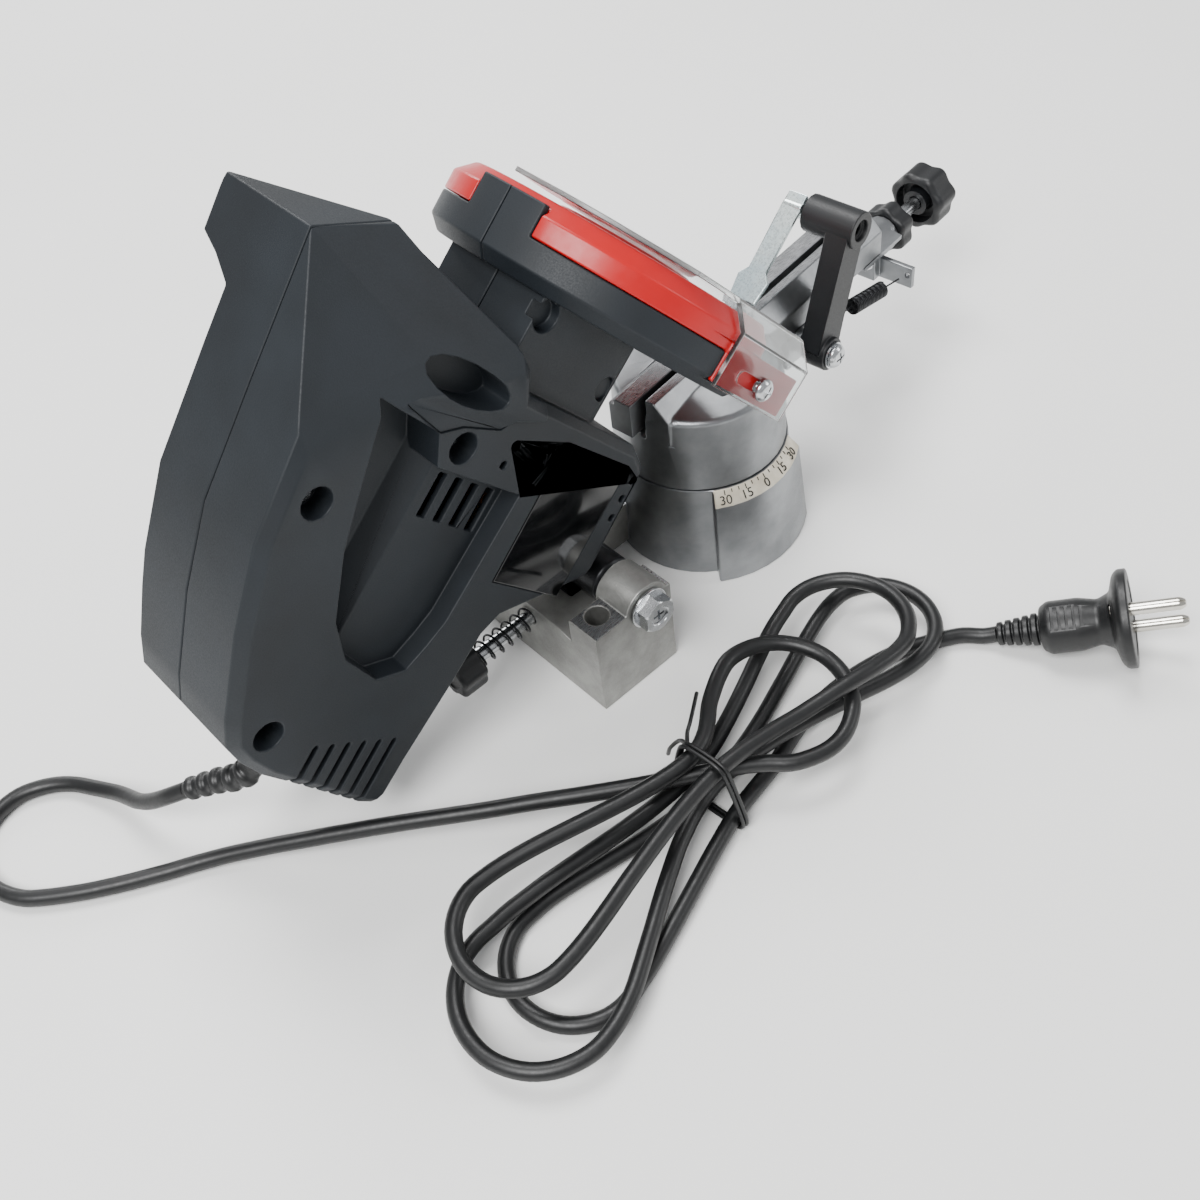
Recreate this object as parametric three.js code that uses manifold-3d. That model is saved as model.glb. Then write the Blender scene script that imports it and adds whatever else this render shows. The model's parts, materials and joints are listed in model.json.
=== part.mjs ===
// Electric chainsaw sharpener: a bench casting with a swivelling chain vice and a tilting grinding head.
// Millimetres, +Z up. The origin is the middle of the foot bar's underside. +X runs from the motor to
// the vice, +Y runs to the back, and the joint between the two housing halves lies in the plane y = 0.
import * as THREE from 'three';
import { mergeVertices } from 'three/addons/utils/BufferGeometryUtils.js';
import Module from 'manifold-3d';

const wasm = await Module();
wasm.setup();

// General fits
const gap = 0.3;
const overrun = 2;
const reach = 500;
const tinySides = 8;
const screwSides = 10;
const smallSides = 16;
const roundSides = 20;
const wideSides = 28;
const curlSteps = 8;
const curlSides = 5;
const largeSides = 40;
const castWall = 4;
const shellWall = 2.6;

// Foot bar of the base casting
const footWidth = 38;
const footLength = 95.2;
const footHeight = 31;
const padLength = 15;
const padHeight = 41;
const padHoleDiameter = 9;
const padHoleInset = 8.8;
const valleyHeight = 28.4;
const valleyRun = 10;
const pivotX = 6.7;
const pivotHeight = 38.5;
const lugRadius = 10.5;
const lugLength = 17;
const pocketWidth = 24;
const pocketLength = 20;
const pocketFloor = 10;
const stopScrewY = -7.6;
const stopScrewHeight = 23;

// Skirt that carries the vice
const swivelX = 82.7;
const skirtBottomRadius = 37.5;
const skirtTopRadius = 35.5;
const seamHeight = 44.5;
const lobeBottomRadius = 43.5;
const lobeTopRadius = 40;
const ledgeHeight = 38.9;
const lobeStartDegrees = -127;
const lobeEndDegrees = -53;
const deckThickness = 9;
const bridgeWidth = 28;
const bridgeY = 21.4;
const bridgeLow = 4;
const bridgeHigh = 24;

// Turntable and chain vice
const swivelDegrees = 7;
const drumBottomRadius = 34.9;
const drumTopRadius = 33.1;
const drumTop = 77.8;
const rimRound = 2.4;
const domeRise = 1.8;
const jawTop = 84;
const railBottom = 66;
const slotWidth = 2.4;
const frontJawDepth = 10.8;
const jawChamfer = 7;
const railStart = -32;
const railEnd = 112;
const rearJawStart = -38;
const rearJawEnd = 108;
const rearJawDepth = 8;
const rearJawBlockDepth = 10.6;
const rearJawBlockLength = 52;
const jawTravel = 2;
const swivelBoltRadius = 5;
const swivelKnobRadius = 17;
const swivelKnobHeight = 12;
const leverLength = 34;
const leverShare = [0.6, -0.8];
const leverHubRadius = 7;
const leverHubLength = 9;
const leverTipRadius = 4.5;
const knobWaveShare = 0.11;
const knobLobeSides = 4;

// Feed screw, bracket and pawl
const feedHeight = 60;
const feedRodRadius = 3;
const feedRodStart = 45;
const feedRodEnd = 168;
const bracketLength = 20;
const bracketWidth = 18;
const bracketLow = 50;
const bracketScrewLength = 10;
const bossRadius = 8;
const lockKnobRadius = 11;
const lockKnobLength = 9;
const feedKnobRadius = 13.5;
const feedKnobLength = 14;
const carriageStart = 42;
const carriageLength = 20;
const armPivotU = 52;
const armNear = -28;
const armHubLength = 13;
const armHubRadius = 7;
const armTopU = 70;
const armTopHeight = 108;
const armTopRadius = 7.5;
const armTopFar = -4.4;
const armPinRadius = 2.5;
const pawlPivotU = 65;
const pawlPivotHeight = 114;
const pawlTipU = 30;
const pawlTipHeight = 90;
const pawlWidth = 8;
const pawlThick = 2;
const pawlFlareWidth = 14;
const armSpringRadius = 3.5;
const armSpringWire = 0.8;
const armSpringV = -21;
const armSpringTurns = 6;
const armSpringLeadShare = 0.3;
const armSpringShare = 1 / 6;

// Tilting head
const headDegrees = 40;
const tiltRangeDegrees = 9;
const motorHeight = 55;
const housingStart = -104;
const housingLength = 182;
const housingLow = 15;
const housingTall = 163;
const housingFront = -30;
const gripFront = -32.5;
const housingBack = 25.4;
const gripBack = 47;
const neckStart = 49;
const neckEnd = 80;
const neckFront = -22.6;
const neckWidth = 46;
const neckLow = 34;
const neckTall = 70;
const pocketDepth = 8;
const pocketDeepest = 16;
const pocketStep = 112;
const screwHoleRadius = 5.5;
const screwShankRadius = 2;
const bossOuter = 7.5;
const bossClear = 1.2;
const labelThick = 1.2;
const edgeRound = 3.5;
const gripLow = 108;
const screwSeatDepth = 9;
const screwEndY = 16;
const ventHoleRadius = 1.6;
const slotHalf = 1.2;
const slotPitch = 6.85;
const slotFirst = 70.1;
const slotCount = 6;
const slotTip = -76;
const slotTipSpread = 6.6;
const slotDepth = 10;
const louvreStart = 1;
const louvreLength = 16;
const louvreFirst = 79;
const louvrePitch = 8;
const louvreHalf = 2;
const louvreCount = 4;
const cupX = 47;
const cupHeight = 123;
const cupWidth = 12.5;
const cupTall = 33;
const cupDepth = 13;
const cupSides = 16;
const switchX = 23;
const switchHeight = 135;
const switchLength = 24;
const switchWidth = 14;
const switchDepth = 14;
const switchFlange = 2;

// Guard and wheel
const guardRadius = 61.6;
const guardWall = 2.5;
const guardBack = 80;
const guardJoint = 93.2;
const guardChamfer = 4.5;
const coverFace = 106;
const coverDrop = 5.5;
const coverChamfer = 5.6;
const plateauRadius = 25;
const plateauRise = 2;
const tabHalfWidth = 14.5;
const tabReach = 104;
const cutLeftDrop = 15;
const cutRightDrop = 40;
const cutRightY = 47;
const wheelX = 92;
const wheelRimClear = 5.1;
const wheelRadius = guardRadius - guardWall - wheelRimClear;
const wheelThick = 3.2;
const wheelBore = 23;
const shaftRadius = 4;
const flangeRadius = 17;
const flangeThick = 6;
const nutRadius = 8;
const nutLength = 5;
const nutFlange = 2.5;

// Clear shield
const shieldClear = 2;
const shieldY = -guardRadius - shieldClear;
const shieldThick = 1.6;
const shieldLow = 13.4;
const shieldHigh = 60;
const shieldBackX = 82;
const shieldFoldX = 101.2;
const shieldFaceX = 108.4;
const shieldSlant = 8.3;
const shieldFaceY = shieldY + shieldSlant;
const shieldRimY = 6;
const shieldScrewX = 88.7;
const shieldScrewHeight = 34;
const shieldSlotTop = 48;
const shieldRimShares = [[-1.3, 0], [-1, 0], [-0.966, 0.389], [-0.814, 0.583], [-0.593, 0.795],
  [-0.356, 0.901], [0.1, 0.928], [0.1, 1.1], [-1.3, 1.1]];
const postStart = 83;
const postEnd = 97;
const postDepth = 2;
const postInside = postDepth - guardRadius;
const postTop = 60;

// Motor
const coreStart = 13;
const coreLength = 30;
const coreRadius = 21;
const rotorRadius = 13;
const windingLength = 6;
const commutatorStart = -6;
const commutatorLength = 12;
const commutatorRadius = 9;
const rearBearingStart = -17;
const frontBearingStart = 67;
const bearingLength = 7;
const bearingRadius = 8;
const fanStart = 54;
const fanLength = 8;
const fanRadius = 15;
const fanBlades = 8;
const brushWidth = 5;
const brushHeight = 6;
const brushLength = 6.5;
const cradleShares = [0.2, 0.7];

// Pivot
const boltRadius = 4;
const sleeveRadius = 9.5;
const sleeveNeckRadius = 5.6;
const hexRadius = 7.5;
const hexHeight = 5.5;
const nutThick = 6.5;
const washerRadius = 8.4;
const washerThick = 1.3;
const returnWire = 1.8;
const returnTurns = 4;
const returnRadius = 8;
const returnStart = 16;
const returnLegTop = 22.6;
const tailWidth = 8;
const tailLength = 24;
const tailInset = 1;
const armWebStart = -11;
const armWebWidth = 23.4;
const armWebDepth = 26;
const armWebTop = 42;
const armWebShares = [[0.214, 0], [0.812, 0], [1, 0.333], [1, 1], [0, 1], [0, 0.893], [0.491, 0.464],
  [0.491, 0.333]];
const depthScrewRadius = 3;
const depthKnobRadius = 10;
const depthKnobLength = 10;
const depthKnobX = -57;
const depthSpringRadius = 5;
const depthSpringWire = 0.9;
const depthSpringTurns = 6;

// Cord
const cordRadius = 3.1;
const strandClear = 0.9;
const crossClear = 0.3;
const cordExitX = -98.8;
const cordExitShare = 0.4908;
const clampInset = 14;
const clampLength = 8;
const clampHalf = 8;
const clampSplit = 1.2;
const clampThick = 6;
const bootLength = 37;
const bootNeckRadius = 4.6;
const bootNeckShare = 0.06;
const bootRadius = 5.4;
const bootRibs = 6;
const ribDepth = 0.9;
const bootEndPoint = [-157, 17.5, 29.7];
const leadRoute = [
  [-165, 27, 22.5], [-170, 38, 14.5], [-173, 52, 8.3], [-179, 66, 4.4], [-186, 77, 3.1], [-202, 85, 3.1],
  [-219, 79, 3.1], [-227, 62, 3.1], [-222, 45, 3.1], [-209, 33, 3.1], [-194, 23, 3.1], [-178, 14, 3.1],
  [-165, 7, 3.1], [-150, -4, 3.1], [-110, -37, 3.1], [-82, -60, 3.1]];
const leadFlatRoute = [[-54, -82], [-38, -93.5], [-22, -104.5], [-6, -115.5]];
const waistX = -22;
const waistY = -107;
const waistHeading = [0.996, 0.089];
const waistHalf = 4;
const lobeShares = [-1, -0.667, -0.333, 0, 0.333, 0.667, 1];
const lobeRows = [
  [18, -104, 25, null], [-107, -103, 21.5, 1], [58, -97, 24.5, -0.5], [-113, -119, 28.5, 1.5],
  [74.5, -101, 21.5, 0], [-97, -117, 23.5, 0.5]];
const runRanks = [4, 6, 5, 3, 2, 1, 0];
const tailOffset = -1.5;
const tailRoute = [[4, -113], [20, -108.5], [37, -106], [51, -106.3], [64, -108.3], [76, -112], [87.5, -117.8]];
const climbRadius = 45;
const climbSlope = 0.35;
const sampleStep = 2.5;
const thinStep = 5;
const hankSides = 6;
const tieSides = 6;
const smoothSpan = 3;
const raiseRounds = 25;
const plugFlangeRadius = 18.5;
const plugFlangeThick = 5;
const plugTilt = [0.584, -0.757, 0.292];
const plugCentre = [132, -169, 18.6];
const plugTail = 46;
const plugGripStart = 30;
const plugGripRadius = 10;
const plugBootWall = 1.4;
const plugRibs = 4;
const plugShares = [[0.8, 1], [1, 0.9], [1, 0.55], [0.85, 0.3], [1.1, 0.15]];
const pinSide = [-0.444, 0.003, 0.899];
const pinRadius = 2.4;
const pinLength = 19;
const pinPitch = 19;
const tieRadius = 0.8;
const tieSteps = 16;
const tieClear = 1;
const tieKnotShare = 0.125;
const tieEndPoints = [
  [[-17, -91, 25], [-11, -86, 20], [4, -74, 12]], [[-21, -91, 24], [-22, -87, 17], [-21, -84, 9]]];

const degrees = Math.PI / 180;
const headTurn = headDegrees * degrees;
const cordExitHeight = housingLow + housingTall * cordExitShare;

// Solids
const X = new THREE.Vector3(1, 0, 0);
const Y = new THREE.Vector3(0, 1, 0);
const Z = new THREE.Vector3(0, 0, 1);

// Turns a closed geometry into a solid that can be cut and joined.
function solid(geometry) {
  const bare = geometry.clone();
  bare.deleteAttribute('normal');
  bare.deleteAttribute('uv');
  const merged = mergeVertices(bare);
  const vertProperties = new Float32Array(merged.attributes.position.array);
  const triVerts = new Uint32Array(merged.index.array);
  return new wasm.Manifold(new wasm.Mesh({ numProp: 3, vertProperties, triVerts }));
}

function geometryOf(body) {
  const { vertProperties, triVerts } = body.getMesh();
  const geometry = new THREE.BufferGeometry();
  geometry.setAttribute('position', new THREE.BufferAttribute(vertProperties, 3));
  geometry.setIndex(new THREE.BufferAttribute(triVerts, 1));
  geometry.computeVertexNormals();
  return geometry;
}

const join = (first, ...others) => others.reduce((whole, piece) => whole.add(piece), first);
const cut = (first, ...others) => others.reduce((whole, piece) => whole.subtract(piece), first);
const common = (first, ...others) => others.reduce((whole, piece) => whole.intersect(piece), first);

// An outline in the two directions square to the axis, drawn out from low to high along it.
function prism(points, axis, low, high) {
  const shape = new THREE.Shape(points.map(([a, b]) => new THREE.Vector2(a, b)));
  const geometry = new THREE.ExtrudeGeometry(shape, { depth: high - low, bevelEnabled: false });
  const turn = new THREE.Matrix4();
  if (axis === 'x') turn.makeBasis(Y, Z, X).setPosition(low, 0, 0);
  if (axis === 'y') turn.makeBasis(X, Z, Y.clone().negate()).setPosition(0, high, 0);
  if (axis === 'z') turn.setPosition(0, 0, low);
  return solid(geometry.applyMatrix4(turn));
}

function box(x0, x1, y0, y1, z0, z1) {
  return prism([[x0, y0], [x1, y0], [x1, y1], [x0, y1]], 'z', z0, z1);
}

function ring(radius, sides, [a, b] = [0, 0], start = 0) {
  const point = (k) => [a + radius * Math.cos(start + (k * 2 * Math.PI) / sides),
    b + radius * Math.sin(start + (k * 2 * Math.PI) / sides)];
  return Array.from({ length: sides }, (_, k) => point(k));
}

function rod(radius, axis, low, high, centre = [0, 0], sides = smallSides) {
  return prism(ring(radius, sides, centre), axis, low, high);
}

// A turned shape: the profile holds pairs of radius and place along the axis, from low to high.
function turned(profile, axis, centre = [0, 0], sides = roundSides) {
  const points = profile.map(([radius, along]) => new THREE.Vector2(radius, along));
  const geometry = new THREE.LatheGeometry(points, sides);
  const turn = new THREE.Matrix4();
  if (axis === 'x') turn.makeBasis(Y, X, Z.clone().negate()).setPosition(0, ...centre);
  if (axis === 'y') turn.makeTranslation(centre[0], 0, centre[1]);
  if (axis === 'z') turn.makeBasis(X, Z, Y.clone().negate()).setPosition(...centre, 0);
  return solid(geometry.applyMatrix4(turn));
}

// Points that are given as shares of two sizes, counted from two starting places.
function scaled(shares, startA, sizeA, startB, sizeB) {
  return shares.map(([a, b]) => [startA + a * sizeA, startB + b * sizeB]);
}

// The same outline with every side moved inwards by the wall, for outlines drawn anticlockwise.
function inset(points, wall) {
  return points.map((point, k) => {
    const before = points[(k + points.length - 1) % points.length];
    const after = points[(k + 1) % points.length];
    const first = new THREE.Vector2(point[0] - before[0], point[1] - before[1]).normalize();
    const second = new THREE.Vector2(after[0] - point[0], after[1] - point[1]).normalize();
    const middle = first.clone().add(second).normalize();
    const mitre = wall / Math.max(middle.dot(first), 0.5);
    return [point[0] - middle.y * mitre, point[1] + middle.x * mitre];
  });
}

// Everything on the far side of the plane through three points, as seen from a point that is kept.
// The depth moves the plane towards that point.
function beyond([a, b, c], kept, depth) {
  const [first, second, third, inner] = [a, b, c, kept].map((p) => new THREE.Vector3(...p));
  const normal = second.clone().sub(first).cross(third.clone().sub(first)).normalize();
  if (normal.dot(inner.clone().sub(first)) > 0) normal.negate();
  const geometry = new THREE.BoxGeometry(reach, reach, reach);
  geometry.translate(0, 0, reach / 2 - depth);
  geometry.applyQuaternion(new THREE.Quaternion().setFromUnitVectors(Z, normal));
  geometry.translate(first.x, first.y, first.z);
  return solid(geometry);
}

function rotated([a, b], angle) {
  return [a * Math.cos(angle) - b * Math.sin(angle), a * Math.sin(angle) + b * Math.cos(angle)];
}

// A slot with round ends between two points.
function slot([a0, b0], [a1, b1], radius, axis, low, high, sides = 8) {
  const along = Math.atan2(b1 - b0, a1 - a0);
  const points = [];
  for (let k = 0; k <= sides; k += 1) {
    const angle = along + Math.PI / 2 + (k * Math.PI) / sides;
    points.push([a0 + radius * Math.cos(angle), b0 + radius * Math.sin(angle)]);
  }
  for (let k = 0; k <= sides; k += 1) {
    const angle = along - Math.PI / 2 + (k * Math.PI) / sides;
    points.push([a1 + radius * Math.cos(angle), b1 + radius * Math.sin(angle)]);
  }
  return prism(points, axis, low, high);
}

// A round bar along a curve, with closed ends.
function tube(curve, radius, steps, sides) {
  const section = new THREE.Shape(ring(radius, sides).map(([a, b]) => new THREE.Vector2(a, b)));
  return new THREE.ExtrudeGeometry(section, { steps, extrudePath: curve, bevelEnabled: false });
}

// Materials
const looks = {
  cast: { color: 0xb9bab8, roughness: 0.5, metalness: 0.85 },
  steel: { color: 0xc9cacb, roughness: 0.3, metalness: 1 },
  zinc: { color: 0xc4d4da, roughness: 0.3, metalness: 1 },
  blackSteel: { color: 0x1a1b1d, roughness: 0.45, metalness: 0.7 },
  housing: { color: 0x23282d, roughness: 0.6, metalness: 0 },
  plastic: { color: 0x17191b, roughness: 0.55, metalness: 0 },
  red: { color: 0xc8161d, roughness: 0.35, metalness: 0 },
  clear: { color: 0xe8eef0, roughness: 0.08, metalness: 0, transparent: true, opacity: 0.35 },
  label: { color: 0x07090a, roughness: 0.12, metalness: 0 },
  abrasive: { color: 0xb5653e, roughness: 0.95, metalness: 0 },
  copper: { color: 0xb8703a, roughness: 0.4, metalness: 1 },
  laminate: { color: 0x6f7276, roughness: 0.5, metalness: 0.9 },
  brass: { color: 0xc9a14a, roughness: 0.35, metalness: 1 },
  carbon: { color: 0x2c2c2e, roughness: 0.8, metalness: 0.2 },
  cord: { color: 0x121314, roughness: 0.55, metalness: 0 },
};

function put(group, name, body, look) {
  const geometry = body instanceof THREE.BufferGeometry ? body : geometryOf(body);
  const mesh = new THREE.Mesh(geometry, new THREE.MeshStandardMaterial(look));
  mesh.name = name;
  group.add(mesh);
}

const machine = new THREE.Group();
const vice = new THREE.Group();
vice.position.set(swivelX, 0, 0);
vice.rotation.z = swivelDegrees * degrees;
const head = new THREE.Group();
head.position.set(pivotX, 0, pivotHeight);
head.rotation.y = -headTurn;
machine.add(vice, head);

// Base casting
const footHalf = footWidth / 2;
const endY = footLength / 2;
const padY = endY - padLength;
const lugY = endY - lugLength;
const padHoleX = -footHalf + padHoleInset;
const skirtHollowRadius = skirtTopRadius - castWall;
const deckLow = seamHeight - deckThickness;

function wedge(startDegrees, endDegrees, low, high) {
  const points = [[swivelX, 0]];
  const steps = 8;
  for (let k = 0; k <= steps; k += 1) {
    const angle = (startDegrees + ((endDegrees - startDegrees) * k) / steps) * degrees;
    points.push([swivelX + lobeBottomRadius * 2 * Math.cos(angle), lobeBottomRadius * 2 * Math.sin(angle)]);
  }
  return prism(points, 'z', low, high);
}

function footBar() {
  const side = [[-endY, 0], [endY, 0], [endY, padHeight], [padY, padHeight], [padY - gap, valleyHeight],
    [padY - valleyRun, footHeight], [-padY + valleyRun, footHeight], [-padY + gap, valleyHeight],
    [-padY, padHeight], [-endY, padHeight]];
  let bar = prism(side, 'x', -footHalf, footHalf);
  for (const end of [-1, 1]) {
    const [low, high] = end < 0 ? [-endY, -lugY] : [lugY, endY];
    const lug = join(rod(lugRadius, 'y', low, high, [pivotX, pivotHeight], wideSides),
      box(pivotX - lugRadius, footHalf, low, high, pocketFloor, pivotHeight));
    bar = join(bar, lug);
  }
  return bar;
}

function skirt() {
  const wall = turned([[0, 0], [skirtBottomRadius, 0], [skirtTopRadius, seamHeight], [0, seamHeight]],
    'z', [swivelX, 0], largeSides);
  const lobe = turned([[0, 0], [lobeBottomRadius, 0], [lobeTopRadius, ledgeHeight],
    [skirtTopRadius, seamHeight], [0, seamHeight]], 'z', [swivelX, 0], largeSides);
  return join(wall, common(lobe, wedge(lobeStartDegrees, lobeEndDegrees, 0, seamHeight)));
}

function skirtHollow() {
  const main = turned([[0, -overrun], [skirtHollowRadius, -overrun], [skirtHollowRadius, deckLow],
    [0, deckLow]], 'z', [swivelX, 0], largeSides);
  const lobeHollow = turned([[0, -overrun], [lobeTopRadius - castWall, -overrun],
    [lobeTopRadius - castWall, deckLow], [0, deckLow]], 'z', [swivelX, 0], largeSides);
  const inner = wedge(lobeStartDegrees + castWall, lobeEndDegrees - castWall, -overrun, deckLow);
  return join(main, common(lobeHollow, inner));
}

function baseCasting() {
  const bridge = box(footHalf - overrun, swivelX - skirtHollowRadius / 2, bridgeY - bridgeWidth / 2,
    bridgeY + bridgeWidth / 2, bridgeLow, bridgeHigh);
  let body = join(footBar(), bridge, skirt());
  const pocket = box(pivotX - pocketWidth / 2, pivotX + pocketWidth / 2 - overrun,
    stopScrewY - pocketLength / 2, stopScrewY + pocketLength / 2, pocketFloor, padHeight);
  const cradle = rod(sleeveRadius + 1.5 * gap, 'y', -lugY, lugY, [pivotX, pivotHeight], wideSides);
  const pivotHole = rod(boltRadius + gap, 'y', -endY - overrun, endY + overrun, [pivotX, pivotHeight]);
  const stopHole = rod(depthScrewRadius + gap, 'x', -footHalf - overrun, pivotX - tailWidth,
    [stopScrewY, stopScrewHeight]);
  const swivelHole = rod(swivelBoltRadius + gap, 'z', deckLow - overrun, seamHeight + overrun, [swivelX, 0]);
  body = cut(body, skirtHollow(), pocket, cradle, pivotHole, stopHole, swivelHole);
  for (const end of [-1, 1]) {
    const hole = rod(padHoleDiameter / 2, 'z', -overrun, padHeight + overrun,
      [padHoleX, end * (endY - padHoleInset)]);
    body = cut(body, hole);
  }
  return body;
}

put(machine, 'base_casting', baseCasting(), looks.cast);

// Turntable: the drum and the fixed front jaw are one casting
const jawInner = slotWidth / 2;
const frontJawFace = -jawInner - frontJawDepth;
const drumBottom = seamHeight + gap;
const drumRoof = railBottom;
const seatFloor = railBottom + castWall / 2;
const hubRadius = swivelBoltRadius + castWall;
const leverV = drumTopRadius + castWall;
const leverHeight = railBottom + castWall * 2;
const bracketTop = railBottom - gap;
const bracketScrewPlace = [railEnd - castWall * 1.5, frontJawFace + castWall];
const bracketScrewSeat = bracketTop - castWall / 2 - gap;

function frontJaw() {
  const section = [[-jawInner, railBottom], [-jawInner, jawTop], [-jawInner - castWall, jawTop],
    [frontJawFace, jawTop - jawChamfer], [frontJawFace, railBottom]];
  return prism(section.reverse(), 'x', railStart, railEnd);
}

function turntable() {
  const drum = turned([[0, drumBottom], [drumBottomRadius, drumBottom],
    [drumTopRadius, drumTop - rimRound], [drumTopRadius - rimRound / 3, drumTop - rimRound / 3],
    [drumTopRadius - rimRound, drumTop], [drumTopRadius / 2, drumTop + domeRise * 0.75],
    [0, drumTop + domeRise]], 'z', [0, 0], largeSides);
  const hollow = cut(
    rod(drumTopRadius - castWall, 'z', drumBottom - overrun, drumRoof - castWall, [0, 0], largeSides),
    rod(hubRadius, 'z', drumBottom - overrun, drumRoof, [0, 0], roundSides));
  const groove = box(-reach, reach, -jawInner, jawInner, railBottom, jawTop + overrun);
  const seat = box(-reach, rearJawEnd + gap, -jawInner, jawInner + rearJawDepth + jawTravel + gap,
    seatFloor, jawTop + overrun);
  const blockSeat = box(-reach, rearJawStart + rearJawBlockLength + gap, -jawInner,
    jawInner + rearJawBlockDepth + jawTravel + gap, seatFloor, jawTop + overrun);
  const boltHole = rod(swivelBoltRadius + gap, 'z', drumBottom - overrun, drumRoof - castWall);
  const leverHole = rod(feedRodRadius + gap, 'y', 0, drumBottomRadius + overrun, [0, leverHeight]);
  const rodWay = rod(feedRodRadius + gap, 'x', drumTopRadius, railEnd + overrun, [0, feedHeight]);
  const screwHole = rod(screwShankRadius + gap, 'z', railBottom - overrun,
    bracketScrewSeat + bracketScrewLength + gap, bracketScrewPlace);
  return cut(join(cut(drum, hollow, seat, blockSeat), frontJaw()), groove, boltHole, leverHole, rodWay, screwHole);
}

put(vice, 'turntable', turntable(), looks.cast);

// Bolt that the vice turns on, and the knob under the deck that locks it
const swivelKnobTop = deckLow - gap;
const swivelBoltLow = swivelKnobTop - swivelKnobHeight - castWall;
put(vice, 'swivel_bolt', rod(swivelBoltRadius, 'z', swivelBoltLow, drumRoof - castWall - gap), looks.steel);

function starKnob(radius, lobes, axis, low, high, centre = [0, 0]) {
  const points = [];
  for (let k = 0; k < lobes * knobLobeSides; k += 1) {
    const angle = (k * 2 * Math.PI) / (lobes * knobLobeSides);
    const wave = 1 - (knobWaveShare * (1 - Math.cos(lobes * angle))) / 2;
    points.push([centre[0] + radius * wave * Math.cos(angle), centre[1] + radius * wave * Math.sin(angle)]);
  }
  return prism(points, axis, low, high);
}

function swivelKnob() {
  const grip = starKnob(swivelKnobRadius, 6, 'z', swivelKnobTop - swivelKnobHeight - castWall,
    swivelKnobTop - castWall);
  const collar = rod(hubRadius, 'z', swivelKnobTop - castWall, swivelKnobTop);
  const hole = rod(swivelBoltRadius + gap, 'z', swivelBoltLow - overrun, swivelKnobTop + overrun);
  return cut(join(grip, collar), hole);
}

put(vice, 'swivel_lock_knob', swivelKnob(), looks.plastic);

// Moving rear jaw and its clamp lever
function rearJaw() {
  const bar = box(rearJawStart, rearJawEnd, jawInner, jawInner + rearJawDepth, seatFloor + gap, jawTop);
  const block = box(rearJawStart, rearJawStart + rearJawBlockLength, jawInner,
    jawInner + rearJawBlockDepth, seatFloor + gap, jawTop - rimRound);
  const screwSeat = rod(feedRodRadius + gap, 'y', jawInner + rearJawDepth / 2 - jawTravel,
    jawInner + rearJawBlockDepth + overrun, [0, leverHeight]);
  return cut(join(bar, block), screwSeat);
}

put(vice, 'rear_jaw', rearJaw(), looks.cast);

function clampLever() {
  const screw = rod(feedRodRadius, 'y', jawInner + rearJawDepth / 2 + gap, leverV + overrun, [0, leverHeight]);
  const hub = rod(leverHubRadius, 'y', leverV, leverV + leverHubLength, [0, leverHeight]);
  const arm = slot([0, leverHeight], [leverLength * leverShare[0], leverHeight + leverLength * leverShare[1]], leverTipRadius,
    'y', leverV + overrun, leverV + leverHubLength);
  return join(screw, hub, arm);
}

put(vice, 'jaw_clamp_lever', clampLever(), looks.blackSteel);

// Bracket under the end of the rail
const bracketStart = railEnd + gap;
const bracketEnd = bracketStart + bracketLength;
const springEarV = armSpringV;

function endBracket() {
  const foot = box(railEnd - castWall * 3, bracketEnd - castWall, frontJawFace, bracketWidth / 2 - castWall,
    bracketTop - castWall / 2, bracketTop);
  const plate = box(bracketStart, bracketStart + castWall * 2, -bracketWidth / 2, bracketWidth / 2,
    bracketLow, bracketTop);
  const boss = rod(bossRadius, 'x', bracketStart, bracketEnd, [0, feedHeight]);
  const ear = box(bracketStart + castWall, bracketStart + castWall * 1.6, springEarV - castWall,
    -bossRadius / 2, bracketLow, bracketLow + castWall * 2.5);
  const rodHole = rod(feedRodRadius + gap, 'x', bracketStart - overrun, bracketEnd + overrun, [0, feedHeight]);
  const hookHole = rod(armSpringWire * 1.5, 'x', bracketStart, bracketEnd,
    [springEarV - castWall / 2 + gap, bracketLow + castWall * 1.5], tinySides);
  const screwHole = rod(screwShankRadius + gap, 'z', bracketLow, bracketTop + overrun, bracketScrewPlace);
  return cut(join(foot, plate, boss, ear), rodHole, hookHole, screwHole);
}

put(vice, 'end_bracket', endBracket(), looks.cast);
put(vice, 'bracket_screw', panScrew('z', bracketScrewPlace, bracketScrewSeat, -1, bracketScrewLength,
  screwShankRadius), looks.steel);

// Feed screw with its two knobs
put(vice, 'feed_screw', rod(feedRodRadius, 'x', feedRodStart, feedRodEnd, [0, feedHeight]), looks.steel);

const lockKnobStart = bracketEnd + gap;
function lockKnob() {
  const grip = starKnob(lockKnobRadius, 6, 'x', lockKnobStart, lockKnobStart + lockKnobLength, [0, feedHeight]);
  const nose = rod(bossRadius - castWall / 4, 'x', lockKnobStart, lockKnobStart + lockKnobLength + castWall / 2,
    [0, feedHeight]);
  const hole = rod(feedRodRadius + gap, 'x', lockKnobStart - overrun, feedRodEnd, [0, feedHeight]);
  return cut(join(grip, nose), hole);
}

put(vice, 'lock_knob', lockKnob(), looks.plastic);

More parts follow.
